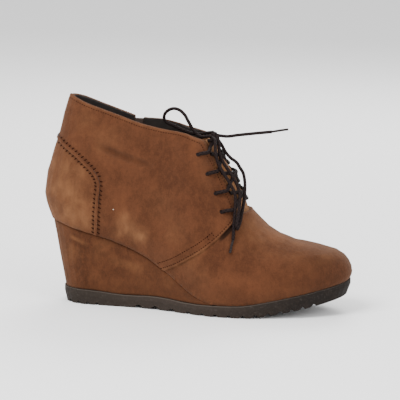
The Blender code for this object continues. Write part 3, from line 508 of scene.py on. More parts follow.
def rings_along(points, radius, taper):
    """Place, turn and size of a circle at each point, without twist."""
    places, side = [], Vector((0.3, 1, 0.2))
    last = len(points) - 1
    for i, point in enumerate(points):
        ahead = (points[min(i + 1, last)] - points[max(i - 1, 0)]).normalized()
        side = (side - ahead * side.dot(ahead)).normalized()
        size = radius * (taper(i / last) if taper else 1.0)
        turned = Matrix((side, ahead.cross(side), ahead)).transposed().to_4x4()
        grown = Matrix.Diagonal((size, size, size, 1))
        places.append(Matrix.Translation(point) @ turned @ grown)
    return places


def add_tube(shape, points, radius, sides=10, taper=None):
    """Circle extruded along points; its UV counts braid lengths along and one turn round."""
    uv = shape.loops.layers.uv.verify()
    layers = shape.verts.layers.float
    along = layers.get("along") or layers.new("along")
    turn = layers.get("turn") or layers.new("turn")
    places, run, walls = rings_along(points, radius, taper), 0.0, []
    first = bmesh.ops.create_circle(
        shape, cap_ends=True, segments=sides, radius=1, matrix=places[0]
    )["verts"]
    for k, vert in enumerate(first):
        vert[along], vert[turn] = 0.0, k / sides
    ring = list(dict.fromkeys(edge for vert in first for edge in vert.link_edges))
    for before, here in zip(places, places[1:]):
        run += (here.translation - before.translation).length
        grown = bmesh.ops.extrude_edge_only(shape, edges=ring)["geom"]
        verts = [part for part in grown if isinstance(part, bmesh.types.BMVert)]
        bmesh.ops.transform(shape, matrix=here @ before.inverted(), verts=verts)
        for vert in verts:
            vert[along] = run / BRAID_LONG
        ring = [part for part in grown if isinstance(part, bmesh.types.BMEdge)]
        walls += [part for part in grown if isinstance(part, bmesh.types.BMFace)]
    bmesh.ops.edgeloop_fill(shape, edges=ring)
    for face in walls:
        turns = [loop.vert[turn] for loop in face.loops]
        on_seam = max(turns) - min(turns) > 0.5
        for loop, part in zip(face.loops, turns):
            loop[uv].uv = (loop.vert[along], part + (1.0 if on_seam and part < 0.5 else 0.0))


# %% [markdown]
# The knot of the bow is the lace wrapped round its own roots and pulled tight. Knots can be
# tied strand by strand, but most of that lies hidden inside. What shows is a tight coil with
# every loop and end coming out of its middle, so it is made of just these: a coil of two
# turns, a core that fills it, and a stub towards each free length.

# %% Parts of the knot
COIL_TURNS, COIL_STEPS, COIL_LONG = 2.1, 32, 0.0050
COIL_REACH, COIL_END_REACH = 0.0025, 0.0012
CORE_WIDE = 0.0036


def coil_points(axis):
    """Points of the wrap round the knot's axis, tucked in at both ends."""
    side = axis.orthogonal().normalized()
    other = axis.cross(side)
    coil = []
    for i in range(COIL_STEPS + 1):
        angle = 2 * math.pi * COIL_TURNS * i / COIL_STEPS
        reach = COIL_REACH if 2 < i < COIL_STEPS - 2 else COIL_END_REACH
        forward = axis * (i / COIL_STEPS - 0.5) * COIL_LONG
        coil.append(MIDDLE + forward + (side * math.cos(angle) + other * math.sin(angle)) * reach)
    return coil


def stub_points(route):
    """Short way from the knot's middle into the start of a free length."""
    first, second = placed(route[:2])
    way = (second - first).normalized()
    back = first - way * min(0.002, (first - MIDDLE).length * 0.5)
    return [MIDDLE, back, first, first + way * 0.0008]


# %% Knot
def knot():
    shape = bmesh.new()
    axis = Vector((-0.80, 0.05, 0.60)).normalized()
    add_tube(shape, through(coil_points(axis), 0.0007), LACE_WIDE / 2)
    core = [MIDDLE + axis * t for t in (-0.0038, -0.002, 0.0, 0.002, 0.0038)]
    add_tube(shape, core, CORE_WIDE / 2, taper=lambda t: 0.5 + 0.5 * math.sin(math.pi * t))
    for route in (LOOP_BACK, LOOP_BACK[::-1], LOOP_FRONT, LOOP_FRONT[::-1], END_DOWN, END_OUT):
        add_tube(shape, through(stub_points(route), 0.0008), LACE_WIDE / 2 * 0.97)
    return attach(to_object("bow_knot", shape, LACE), "lace_knot")


BOW_KNOT = knot()

# %% [markdown]
# Two loops and two ends leave the knot, and each end has a tip that goes through the holes.
# They are tubes along their routes, and the length of each is measured along the curve.

# %% Loops and ends
def free_lace(name, points, diameter, finish):
    """Piece of lace along a route, with the route and its length."""
    route = through(placed(points), 0.0016)
    shape = bmesh.new()
    add_tube(shape, route, diameter / 2)
    made = to_object(name, shape, finish)
    attach(made, "lace_" + name.removeprefix("bow_"))
    print(name, "length", round(length_of(route), 4))
    return made, route, length_of(route)


tip_down = free_lace("bow_tip_down", TIP_DOWN, TIP_WIDE, TIP)[0]
tip_out = free_lace("bow_tip_out", TIP_OUT, TIP_WIDE, TIP)[0]
for name, points, end, extra in (
    ("bow_loop_back", LOOP_BACK, "object", [BOW_KNOT]),
    ("bow_loop_front", LOOP_FRONT, "object", []),
    ("bow_end_down", END_DOWN, "fitting", [tip_down]),
    ("bow_end_out", END_OUT, "fitting", [tip_out]),
):
    made, route, length = free_lace(name, points, LACE_WIDE, LACE)
    "stiff" if name == "bow_end_out" else "medium"

# %% [markdown]
# The boot stands on a pale sweep of paper. A hard lamp would draw a black shadow under the
# toe, and suede needs its grain lit from the side. So a large soft disk shines from the upper
# left, a weaker one from the right, one from behind, and a white sky fills the rest.

# %% Floor
FLOOR_REACH = 6
shape = bmesh.new()
bmesh.ops.create_grid(shape, x_segments=1, y_segments=1, size=FLOOR_REACH)
floor_mesh = bpy.data.meshes.new("floor")
shape.to_mesh(floor_mesh)
shape.free()
floor = bpy.data.objects.new("floor", floor_mesh)
bpy.context.scene.collection.objects.link(floor)
paper = bpy.data.materials.new("floor_paper")
paper.use_nodes = True
paper_shader = paper.node_tree.nodes["Principled BSDF"]
paper_shader.inputs["Base Color"].default_value = (0.90, 0.90, 0.90, 1)
paper_shader.inputs["Roughness"].default_value = 0.9
floor_mesh.materials.append(paper)
print("floor", 2 * FLOOR_REACH, "m wide")

# %% Sky and lamps
SKY_STRENGTH = 1.25
LIT = Vector((0.08, 0, 0.08))
LAMPS = (
    ("name", "place", "size", "watts"),
    ("key", (-0.5, -1.1, 1.5), 1.0, 46),
    ("fill", (1.3, -0.9, 0.8), 0.9, 14),
    ("back", (0.1, 1.2, 1.1), 1.0, 18),
)
world = bpy.data.worlds.new("studio")
world.use_nodes = True
sky = world.node_tree.nodes["Background"]
sky.inputs["Color"].default_value = (1, 1, 1, 1)
sky.inputs["Strength"].default_value = SKY_STRENGTH
bpy.context.scene.world = world
for name, place, size, watts in LAMPS[1:]:
    disk = bpy.data.lights.new(name, "AREA")
    disk.shape, disk.size, disk.energy = "DISK", size, watts
    lamp = bpy.data.objects.new(name, disk)
    lamp.location = place
    lamp.rotation_euler = (LIT - Vector(place)).to_track_quat("-Z", "Y").to_euler()
    bpy.context.scene.collection.objects.link(lamp)
    print("lamp", name, watts, "W")

# %% [markdown]
# The upper is sewn from vamp, quarters and counter over a thin lining, and its seams, edges
# and creases all show in the side view. They could be marked on the surface face by face.
# Drawn as lines in the side view, in shares of the sole's length and the shaft's height,
# they stay true if the boot is made in another size, and one line serves for the stitches
# as well as for the rubbed edges beside them.

# %% Seams and edges of the side view
LENGTH, SHAFT_HEIGHT = 0.248, 0.1785
COUNTER_SEAM = (
    (-0.020, 0.794), (0.015, 0.765), (0.061, 0.724), (0.103, 0.677), (0.129, 0.644),
    (0.143, 0.615), (0.148, 0.581), (0.146, 0.547), (0.145, 0.494), (0.143, 0.423),
    (0.139, 0.350),
)
QUARTER_EDGE = (
    (0.622, 0.472), (0.619, 0.446), (0.605, 0.419), (0.569, 0.366), (0.530, 0.320),
    (0.479, 0.274), (0.421, 0.227), (0.372, 0.197),
)
FACING = (
    (0.501, 0.813), (0.529, 0.740), (0.559, 0.668), (0.587, 0.592), (0.612, 0.525),
    (0.622, 0.472),
)
COLLAR = (
    (0.018, 1.000), (0.045, 0.989), (0.093, 0.964), (0.155, 0.937), (0.216, 0.910),
    (0.278, 0.883), (0.358, 0.862), (0.440, 0.847), (0.469, 0.832), (0.501, 0.813),
)


def in_side_view(shares):
    """Places of the side view, with y = 0, from shares of length and height."""
    return [(a * LENGTH - SHIFT, 0.0, u * SHAFT_HEIGHT) for a, u in shares]


print("top of the collar", [round(v, 4) for v in in_side_view(COLLAR)[0]])

# %% Lines that measure distance
LINE_STEP = 0.0004


class SeamLine:
    """Smooth line of the side view that knows how far any place is from it."""

    def __init__(self, points):
        self.points = points
        self.tree = KDTree(len(points))
        for i, point in enumerate(points):
            self.tree.insert((point.x, 0, point.z), i)
        self.tree.balance()

    def nearest(self, x, z):
        return self.points[self.tree.find((x, 0, z))[1]]

    def gap(self, x, z):
        return self.tree.find((x, 0, z))[2]


SEAM_LINES = [
    SeamLine(through(in_side_view(shares), LINE_STEP))
    for shares in (COUNTER_SEAM, QUARTER_EDGE, FACING, COLLAR)
]
COUNTER_LINE, EDGE_LINE, FACING_LINE, COLLAR_LINE = SEAM_LINES
DEEP_CREASE = through([(0.0035, 0, 0.1376), (0.0300, 0, 0.1281), (0.0497, 0, 0.1234)], LINE_STEP)
FINE_LINE = SeamLine([p for line in SEAM_LINES for p in line.points] + DEEP_CREASE)
print("lengths of the seams", [round(length_of(line.points), 3) for line in SEAM_LINES])

# %% [markdown]
# Wear makes each boot its own: soft creases where ankle and toes bend, a pair of pale
# scuffs low on the outer quarter, a paler counter. Noise alone would put them in places
# where no boot wears, so each one is listed in the side view, in metres.

# %% Creases and scuffs
CREASES = (
    ("from_x", "from_z", "to_x", "to_z", "depth", "width"),
    (0.0035, 0.1376, 0.0311, 0.1278, 0.0024, 0.0031),
    (0.0290, 0.1284, 0.0497, 0.1234, 0.0018, 0.0032),
    (0.016, 0.153, 0.052, 0.139, 0.0008, 0.0060),
    (0.060, 0.112, 0.092, 0.103, 0.0007, 0.0070),
    (0.070, 0.130, 0.090, 0.122, 0.0007, 0.0060),
    (0.050, 0.084, 0.084, 0.078, 0.0006, 0.0080),
    (0.116, 0.067, 0.137, 0.062, 0.0009, 0.0050),
    (0.122, 0.056, 0.148, 0.054, 0.0008, 0.0050),
    (0.118, 0.046, 0.142, 0.040, 0.0006, 0.0060),
    (0.086, 0.052, 0.102, 0.064, 0.0006, 0.0060),
)
SCUFFS = (
    ("x", "z", "size", "strength"),
    (0.0315, 0.0745, 0.0075, 0.72),
    (0.0385, 0.0710, 0.0060, 0.55),
    (0.0440, 0.0660, 0.0070, 0.80),
    (0.0250, 0.0660, 0.0060, 0.25),
    (0.0600, 0.0920, 0.0110, 0.16),
    (0.0760, 0.0700, 0.0100, 0.16),
    (0.0880, 0.0460, 0.0090, 0.18),
    (0.1000, 0.0360, 0.0100, 0.14),
    (-0.026, 0.098, 0.020, 0.25),
    (-0.014, 0.082, 0.018, 0.35),
    (-0.022, 0.116, 0.014, 0.20),
    (0.172, 0.060, 0.012, 0.22),
    (0.150, 0.066, 0.012, 0.22),
    (0.136, 0.074, 0.010, 0.30),
    (0.198, 0.052, 0.010, 0.22),
    (-0.006, 0.158, 0.010, 0.22),
    (0.006, 0.140, 0.008, 0.18),
    (0.018, 0.146, 0.012, 0.14),
)
print(len(CREASES) - 1, "creases,", len(SCUFFS) - 1, "scuffs")

# %% [markdown]
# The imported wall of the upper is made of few, large faces, too stiff to crease. A subdivision
# surface would round off its sharp cut edges. So its copy is merged, and every edge that is
# too long is cut in two, again and again, down to a finer limit near the seams and finest
# where the quarter's edge stands off the vamp.

# %% Search trees
def lookup(*things):
    """Search tree of some mesh objects, in world places."""
    shape = bmesh.new()
    for thing in things:
        known = len(shape.verts)
        shape.from_mesh(thing.data)
        shape.verts.ensure_lookup_table()
        bmesh.ops.transform(shape, matrix=thing.matrix_world, verts=shape.verts[known:])
    tree = BVHTree.FromBMesh(shape)
    shape.free()
    return tree


# %% Fine copies of imported meshes
# Around LIFT_X a shadow is painted on the vamp under the quarter's edge.
LIFT_X = 0.1205  # where along the quarter its edge stands off the vamp
SEAM_REACH = 0.0045


def longest_edge(middle, longest, near_seams):
    """How long an edge with this middle may be."""
    if near_seams is None:
        return longest
    # finest cuts where the shadow under the quarter's edge is painted
    if abs(middle.x - LIFT_X) < 0.010 and EDGE_LINE.gap(middle.x, middle.z) < 0.005:
        return near_seams * 0.6
    return near_seams if FINE_LINE.gap(middle.x, middle.z) < SEAM_REACH else longest


def fine_copy(node, longest, near_seams=None):
    """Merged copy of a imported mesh, cut until no edge is longer than it may be."""
    shape = bmesh.new()
    shape.from_mesh(NODES[node].data)
    bmesh.ops.transform(shape, matrix=NODES[node].matrix_world, verts=shape.verts)
    bmesh.ops.remove_doubles(shape, verts=shape.verts, dist=0.00001)
    for _ in range(6):
        long = [
            edge for edge in shape.edges
            if edge.calc_length()
            > longest_edge((edge.verts[0].co + edge.verts[1].co) / 2, longest, near_seams)
        ]
        if not long:
            break
        bmesh.ops.subdivide_edges(shape, edges=long, cuts=1, use_grid_fill=False)
        bmesh.ops.triangulate(shape, faces=shape.faces)
    bmesh.ops.recalc_face_normals(shape, faces=shape.faces)
    for name in ("worn", "shade"):
        shape.verts.layers.float.new(name)
    shape.normal_update()
    print(node, "cut to", len(shape.faces), "faces")
    return shape


# %% [markdown]
# The upper is one hollow wall: suede outside, lining inside, a raw edge between. Which is
# which can be told by where each face looks. A line through the middle of the foot and one
# up the shaft are the inside's inside: what looks away from them is suede.

# %% Inside and outside
FOOT_AXIS = (
    (-0.020, 0, 0.100), (0.000, 0, 0.125), (0.030, -0.001, 0.110), (0.060, -0.003, 0.090),
    (0.090, -0.003, 0.070), (0.120, -0.003, 0.040), (0.170, 0.001, 0.033),
    (0.200, 0.003, 0.034),
)
SHAFT_AXIS = ((-0.012, 0, 0.172), (0.020, 0, 0.160), (0.050, 0, 0.150), (0.088, -0.001, 0.142))
AXIS_PIECES = [
    (Vector(a), Vector(b)) for line in (FOOT_AXIS, SHAFT_AXIS) for a, b in zip(line, line[1:])
]


def share(value, low, high):
    """0 below low, 1 above high, even between."""
    return max(0.0, min(1.0, (value - low) / (high - low)))


def way_out(point):
    """Direction from the middle line of foot and shaft to a point."""
    gaps = []
    for a, b in AXIS_PIECES:
        t = share((point - a).dot(b - a), 0.0, (b - a).length_squared)
        gaps.append(point - (a + (b - a) * t))
    return min(gaps, key=lambda gap: gap.length).normalized()


print("toe looks out to", [round(v, 2) for v in way_out(Vector((0.218, 0, 0.03)))])

# %% [markdown]
# A crease in suede is a soft trough with a low ridge beside it, where the leather that sank
# in comes up again. It could be a bump in the finish, but a bump leaves the outline and the
# shadows straight. So it moves the points of the mesh, and it darkens them a little, since
# less light gets into a fold.

# %% Shapes of wear
def bell(distance, width):
    """1 at no distance, falling smoothly to nothing beyond the width."""
    return math.exp(-((distance / width) ** 2))


def trough(x, z, row):
    """Depth of a soft crease at a place of the side view, below 0 on its ridge."""
    from_x, from_z, to_x, to_z, depth, width = row
    dx, dz = to_x - from_x, to_z - from_z
    t = share((x - from_x) * dx + (z - from_z) * dz, 0.0, dx * dx + dz * dz)
    near = math.hypot(x - from_x - dx * t, z - from_z - dz * t) / width
    fade = math.sin(math.pi * (0.12 + 0.76 * t))
    return depth * fade * (bell(near, 1.0) - 0.55 * math.exp(-((near - 1.7) ** 2) * 1.4))


def under_edge(x, z):
    """Mask of the painted shadow under the quarter's edge: 1 on the vamp right beside it, 0 from
    4 mm on and on the quarter.
    """
    nearest = EDGE_LINE.nearest(x, z)
    beyond = (x - nearest.x) * 0.66 - (z - nearest.z) * 0.75
    return max(0.0, 1 - abs(beyond - 0.0012) / 0.0030) if beyond > -0.0003 else 0.0


def behind_counter(x, z):
    """1 on the counter, 0 in front of its seam, soft between."""
    seam = COUNTER_LINE.points
    if z > seam[0].z:
        return 0.0
    seam_x = float(np.interp(-z, [-p.z for p in seam], [p.x for p in seam]))
    return share(seam_x - x, 0.0, 0.0015)


depths = [trough(0.017, z * 0.001, CREASES[1]) for z in range(125, 140)]
print("deepest crease", round(max(depths), 5))

# %% [markdown]
# For every point on the outside of the upper, three things are worked out: how far a crease
# or a wave of the soft leather moves it, how much its nap is rubbed, and how much shade is
# painted on it.
# Waves keep away from the seams, so that the stitches stay straight.

# %% Wear of the upper
COUNTER_RUB, EDGE_RUB, COLLAR_RUB = 0.16, 0.30, 0.22
# Strengths of the painted shade beside the counter's seam, at the toe, in the gap under the
# quarter's edge and in creases, then its limits.
SEAM_SHADE, TOE_SHADE, GAP_SHADE, CREASE_SHADE = 0.34, 0.20, 2.6, 150
DARKEST, DARKER_GAP = 0.62, 0.36


def rub_at(x, z, to_edge, to_collar):
    """How far the nap is rubbed pale at a place of the side view."""
    rub = sum(s * bell(math.hypot(x - a, z - b), r) for a, b, r, s in SCUFFS[1:])
    rub += COUNTER_RUB * behind_counter(x, z)
    return rub + EDGE_RUB * bell(to_edge, 0.0016) + COLLAR_RUB * bell(to_collar, 0.0014)


def shade_at(x, z, sunk, to_counter):
    """Painted shade at a place: in a fold, by the counter's seam, in the gap under the quarter's
    edge and at the toe.
    """
    lifted = math.exp(-(((x - LIFT_X) / 0.0060) ** 4))
    dark = sunk * CREASE_SHADE + SEAM_SHADE * bell(to_counter - 0.0024, 0.0008)
    # painted shadow in the gap under the quarter's edge and painted shade at the toe
    dark += GAP_SHADE * lifted * under_edge(x, z) + TOE_SHADE * share(x, 0.150, 0.185)
    return max(0.0, min(DARKEST + DARKER_GAP * lifted, dark))


def wear(vert, worn, shade):
    """Moves a point of the outside and notes how rubbed it is and how much shade is painted on
    it.
    """
    x, y, z = vert.co
    to_edge, to_collar, to_counter = (
        line.gap(x, z) for line in (EDGE_LINE, COLLAR_LINE, COUNTER_LINE)
    )
    sunk = 0.0 if y > 0.02 else sum(trough(x, z, row) for row in CREASES[1:])
    wave = noise.noise(vert.co * 26) * 0.0006 + noise.noise(vert.co * 75) * 0.00022
    calm = min(1.0, min(to_edge, to_collar, to_counter) / 0.006) * share(z, 0.02, 0.04)
    vert.co += vert.normal * (wave - sunk) * calm
    uneven = 0.75 + 0.6 * noise.noise(vert.co * 150 + Vector((3, 1, 2)))
    vert[worn] = share(rub_at(x, z, to_edge, to_collar) * uneven, 0.0, 1.0)
    vert[shade] = shade_at(x, z, sunk * calm, to_counter)


# %% Skin of the upper
UP_FRONT = Vector((0.5, 0, 0.87))  # where the cut edges of collar and facings look
RIM_REACH = 0.0028


def finish_of(face):
    """Number of a face's finish: 0 suede, 1 lining, 2 cut edge."""
    middle = face.calc_center_median()
    to_rim = min(line.gap(middle.x, middle.z) for line in (FACING_LINE, COLLAR_LINE))
    if to_rim < RIM_REACH and face.normal.dot(UP_FRONT) > 0.7:
        return 2
    return 1 if face.normal.dot(way_out(middle)) < -0.2 else 0


def dress_upper():
    shape = fine_copy("upper", 0.0042, 0.0019)
    worn, shade = shape.verts.layers.float["worn"], shape.verts.layers.float["shade"]
    for vert in shape.verts:
        if vert.normal.dot(way_out(vert.co)) >= 0.15:
            wear(vert, worn, shade)
    for face in shape.faces:
        face.material_index = finish_of(face)
    made = to_object("upper_skin", shape, UPPER_SUEDE, LINING, CUT_EDGE)
    return attach(made, "upper")


UPPER_SKIN = dress_upper()
SKIN_TREE = lookup(UPPER_SKIN)

# %% [markdown]
# The tongue is lighter, raw suede and shows in the throat between the facings. The insole is
# a lined footbed that few ever see. Both only need a finer mesh and a faint wave, so that
# they don't look cut from sheet metal.

# %% Tongue and insole
def waved_copy(node, longest, wave):
    """Fine copy whose surface rises and falls a little."""
    shape = fine_copy(node, longest)
    for vert in shape.verts:
        vert.co += vert.normal * wave * noise.noise(vert.co * 60)
    return shape


TONGUE_SKIN = to_object("tongue_skin", waved_copy("tongue", 0.004, 0.0002), TONGUE_SUEDE)
attach(TONGUE_SKIN, "tongue")
INSOLE_COVER = to_object("insole_cover", waved_copy("insole", 0.006, 0.0003), LINING)
attach(INSOLE_COVER, "insole")

# %% [markdown]
# The wedge is a light core with suede glued tightly round it. It has no folds, but kerbs and
# stairs leave their marks: one pale scratch near the heel and a broad scrape under the waist.
# These are the same troughs as the creases, used for the colour alone. Just above the sole
# the suede is darker in a narrow band.

# %% Wedge
SCRATCH = (-0.0180, 0.0590, -0.0050, 0.0535, 1.0, 0.0022)
SCRAPE = (0.0200, 0.0400, 0.0420, 0.0360, 1.0, 0.0050)
DARK_BAND_HEIGHT, DARK_BAND_WIDE = 0.016, 0.004


def dress_wedge():
    shape = waved_copy("wedge", 0.0030, 0.00025)
    worn, shade = shape.verts.layers.float["worn"], shape.verts.layers.float["shade"]
    for vert in shape.verts:
        x, y, z = vert.co
        marks = 0.62 * trough(x, z, SCRATCH) + 0.30 * trough(x, z, SCRAPE) if y < 0 else 0.0
        vert[worn] = max(0.0, min(0.7, marks + 0.22 * noise.noise(vert.co * 55)))
        clouds = max(0.0, 0.10 * noise.noise(vert.co * 40))
        vert[shade] = 0.16 * bell(z - DARK_BAND_HEIGHT, DARK_BAND_WIDE) + clouds
    return attach(to_object("wedge_cover", shape, WEDGE_SUEDE), "wedge")


dress_wedge()

# %% [markdown]
# The outsole is one moulded rubber unit and its solid already has the ripple lugs. The zip's
# slider and pull are hard castings. Nothing on them is finer than their solids, so they keep
# their own meshes, and only the finish changes.

# %% Hard pieces
for node, finish in (("outsole", RUBBER), ("zip_slider", NICKEL), ("zip_pull", NICKEL)):
    for place in NODES[node].material_slots:
        place.material = finish
    print(node, "in", finish.name)

# %% [markdown]
# Along the top of its wall the sole has a narrow moulded bead that catches dust, a pale line
# between rubber and suede. A bevel on the solid's edge could make it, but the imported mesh
# must stay as it is. So level rays feel their way down to the top of the wall, all the way
# round the sole, and a thin tube follows the places that they find.

# %% Rim of the sole
RIM_WIDE = 0.0011
HEEL_X, TOE_MIDDLE = 0.006, Vector((0.166, 0.001, 0))
RAY_TOP, RAY_STEP, RAY_LONG = 0.036, 0.00025, 0.12


def around_sole():
    """Places on the sole's middle line, each with the way from it to the wall."""
    rays = [(Vector((HEEL_X, 0, 0)), degrees) for degrees in range(90, 271, 6)]
    rays += [(Vector((x * 0.001, 0, 0)), 270) for x in range(14, 168, 5)]
    rays += [(TOE_MIDDLE, degrees) for degrees in range(-90, 91, 6)]
    rays += [(Vector((x * 0.001, 0, 0)), 90) for x in range(162, 8, -5)]
    return [
        (middle, Vector((math.cos(math.radians(turn)), math.sin(math.radians(turn)), 0)))
        for middle, turn in rays
    ]


def top_of_wall(tree, middle, way):
    """First place that level rays meet, coming down outside the wall."""
    for step in range(140):
        start = middle + way * RAY_LONG + Vector((0, 0, RAY_TOP - step * RAY_STEP))
        place = tree.ray_cast(start, -way, RAY_LONG)[0]
        if place:
            return place - Vector((0, 0, RIM_WIDE * 0.35)) + way * RIM_WIDE * 0.05
    return None


def sole_rim():
    tree = lookup(NODES["outsole"])
    found = [top_of_wall(tree, middle, way) for middle, way in around_sole()]
    points = [place for place in found if place]
    shape = bmesh.new()
    add_tube(shape, through(points + points[:1], 0.0025), RIM_WIDE / 2, 8)
    attach(to_object("sole_rim", shape, RIM_RUBBER))
    print("rim follows", len(points), "places")


sole_rim()

# %% [markdown]
# Stitches are what shows of a sewn upper. Each one is a short round thread that dips into the
# leather at both ends. A dashed line in the finish would lie flat, and a thread through all
# holes would need hundreds of bends that nobody sees. So each stitch is a small sphere drawn
# long and half sunk. It is set out on a line of the side view and dropped on the skin by
# level rays from the side.

# %% One stitch
def on_side(x, z, side):
    """Point and outward normal where a level ray from one side meets the skin."""
    start = Vector((x, side * 0.2, z))
    place, normal, _, _ = SKIN_TREE.ray_cast(start, Vector((0, -side, 0)))
    return (place, normal) if place else (None, None)


def add_stitch(shape, a, b, out, radius):
    """Thread from a to b: a small sphere drawn long, half sunk in the leather."""
    along = (b - a).normalized()
    across = out.cross(along).normalized()
    turned = Matrix((along, across, along.cross(across))).transposed().to_4x4()
    size = Matrix.Diagonal(((b - a).length / 2 + radius, radius, radius, 1))
    place = Matrix.Translation((a + b) / 2) @ turned @ size
    bmesh.ops.create_uvsphere(shape, u_segments=8, v_segments=6, radius=1, matrix=place)


# %% Rows of stitches
THREADS = {
    # kind: pitch, length, radius, slant from the way of the line
    "counter": (0.0036, 0.0019, 0.00052, 1.15),
    "quarter": (0.0022, 0.00045, 0.00042, 0.0),
    "fine": (0.0022, 0.0006, 0.00034, 0.0),
}


def stitch_row(shape, kind, line, side, offset):
    """Stitches at an offset beside a side-view line, on one side of the boot."""
    pitch, long, radius, slant = THREADS[kind]
    count, run = 0, 0.0
    for before, here in zip(line, line[1:]):
        step = here - before
        run += step.length
        if run < pitch:
            continue
        run -= pitch
        way = step.normalized()
        across = Vector((-way.z, 0, way.x))
        spot = here + across * offset
        half = (way * math.cos(slant) + across * math.sin(slant)) * long / 2
        ends = [on_side(end.x, end.z, side)[0] for end in (spot - half, spot + half)]
        middle, normal = on_side(spot.x, spot.z, side)
        if middle is None or None in ends:
            continue
        if max((end - middle).length for end in ends) > long * 1.6:
            continue
        add_stitch(shape, *ends, normal, radius)
        count += 1
    return count


def stitched(name, kind, rows):
    """Piece of several rows, each a line with its side and offset."""
    shape = bmesh.new()
    total = sum(stitch_row(shape, kind, *row) for row in rows)
    print(name, total, "stitches")
    return attach(to_object(name, shape, THREAD))


# %% [markdown]
# The counter's seam is the boldest: a slanted whip stitch on both of its sides. The quarter
# is sewn down with two fine rows along its front edge, and a small box of stitches closes
# the inner row, where the pull of the laces is greatest. Collar and facings have one row.

# %% Stitches of the counter and the quarter
counter_line, edge_line, facing_line, collar_line = (line.points for line in SEAM_LINES)
stitched("counter_stitches", "counter", [
    (counter_line, side, offset) for side in (-1, 1) for offset in (0.0026, -0.0026)
])

BOX = (0.1078, 0.1118)  # where along x the box of stitches begins and ends
OUTER_ROW, INNER_ROW = -0.0021, -0.0072


def between(a, b):
    """Straight side-view line from one place to another."""
    count = int((b - a).length / LINE_STEP)
    return [a.lerp(b, i / count) for i in range(count + 1)]


def beside(line, x, offset):
    """Point of a line at a length x, moved across the line by offset."""
    i = min(range(1, len(line)), key=lambda k: abs(line[k].x - x))
    way = (line[i] - line[i - 1]).normalized()
    return line[i] + Vector((-way.z, 0, way.x)) * offset


inner_row = [p for p in edge_line if p.x < BOX[1]]
box_sides = [
    between(beside(edge_line, x, OUTER_ROW), beside(edge_line, x, INNER_ROW)) for x in BOX
]
quarter_rows = (
    (edge_line, OUTER_ROW), (inner_row, INNER_ROW), (box_sides[0], 0.0), (box_sides[1], 0.0),
)
stitched("quarter_stitches", "quarter", [
    (line, side, offset) for side in (-1, 1) for line, offset in quarter_rows
])

# %% Stitches of the collar and the facings
stitched("collar_stitches", "fine", [
    (line, side, -0.0022) for side in (-1, 1) for line in (collar_line, facing_line)
])

# %% [markdown]
# A fleck of pale lint is caught in the nap of the outer quarter. It is one small flattened
# ball, because at this size its fibres can't be seen.

# %% Lint
LINT_X, LINT_Z, LINT_REACH = 0.0205, 0.0855, 0.00042
lint = two_tone(
    "lint", 0.9, (3000, 2, 0.3, 0.7), (0.30, 0.25, 0.19, 1), (0.62, 0.55, 0.46, 1), sheen=0.3,
)
shape = bmesh.new()
flat = Matrix.Translation(on_side(LINT_X, LINT_Z, -1)[0]) @ Matrix.Diagonal((1.2, 0.5, 1, 1))
bmesh.ops.create_icosphere(shape, subdivisions=2, radius=LINT_REACH, matrix=flat)
attach(to_object("lint_fleck", shape, lint.material))

# %% [markdown]
# The lace comes out of a hole on each side, lies on the quarter, bends over the edge of the
# facing and climbs over the tongue to slip under the other facing. A straight cord between
# the holes would cut through the leather. So a strand's way is told in shares: how far
# across the throat and how far up towards the next hole. Rays from the front then find the
# leather under each of these places, and the strand lies on what they find.

# %% Lace holes and throat
STRAND_WIDE = 0.0031  # the lace is pressed a little flat where it is pulled tight
HOLE_SHARES = ((0.576, 0.490), (0.551, 0.574), (0.521, 0.664), (0.487, 0.753))
LACE_HOLES = [(x, z) for x, _, z in in_side_view(HOLE_SHARES)]
CREST_LEAD = 0.0037  # least lead of the tongue's middle over the facing's edge
BOTH_TREE = lookup(UPPER_SKIN, TONGUE_SKIN)


def throat(height, side):
    """How far forward tongue and facing's edge lie at a height, and the half width."""
    line = facing_line[::-1]
    edge_x = float(np.interp(height, [p.z for p in line], [p.x for p in line]))
    edge_y = abs(on_side(edge_x - 0.001, height, side)[0].y)
    front = BOTH_TREE.ray_cast(Vector((0.3, 0, height)), Vector((-1, 0, 0)))[0].x
    return max(front, edge_x + CREST_LEAD), edge_x, edge_y


def on_throat(across, height):
    """Point on tongue or facing at a share of the throat's half width, and its way out."""
    crest, edge_x, edge_y = throat(height, 1 if across > 0 else -1)
    guess = Vector((crest - (crest - edge_x) * across * across, across * edge_y, height))
    out = Vector((0.78, 1.15 * across, 0.52)).normalized()
    place = BOTH_TREE.ray_cast(guess + out * 0.02, -out)[0]
    return (place or guess), out


def hole_frame(index, side):
    """Middle of a lace hole on the skin and its outward normal."""
    x, z = LACE_HOLES[index]
    ring = ((0.003, 0), (0, 0.003), (-0.003, 0), (0, -0.003))
    around = [on_side(x + dx, z + dz, side)[0] for dx, dz in ring]
    normal = (around[0] - around[2]).cross(around[1] - around[3]).normalized()
    return sum(around, Vector()) / 4, normal * (1 if normal.y * side > 0 else -1)


for _, height in LACE_HOLES:
    print("throat at", round(height, 4), [round(v, 4) for v in throat(height, -1)])

# %% [markdown]
# Strands from the outer side cross over those from the inner side. Each leaves its hole
# nearly level and climbs steeply once it is over the facing's edge, as a lace does that is
# pulled towards the next hole. The top pair goes on into the knot.

# %% Shape of a strand
STRAND = (
    ("across", "up", "rise"),
    (-1.04, 0.13, 0.0006),
    (-0.88, 0.25, 0.0004),
    (-0.60, 0.46, 0.0001),
    (-0.25, 0.66, 0.0001),
    (0.05, 0.78, 0.0001),
    (0.40, 0.88, 0.0000),
    (0.72, 0.96, -0.0002),
    (0.95, 1.00, -0.0016),
)
TOP = len(LACE_HOLES) - 1
TOP_CLIMB = 0.0115
OVER = 0.0019  # how much higher a strand runs where it crosses another
print("shares of a strand", len(STRAND) - 1)


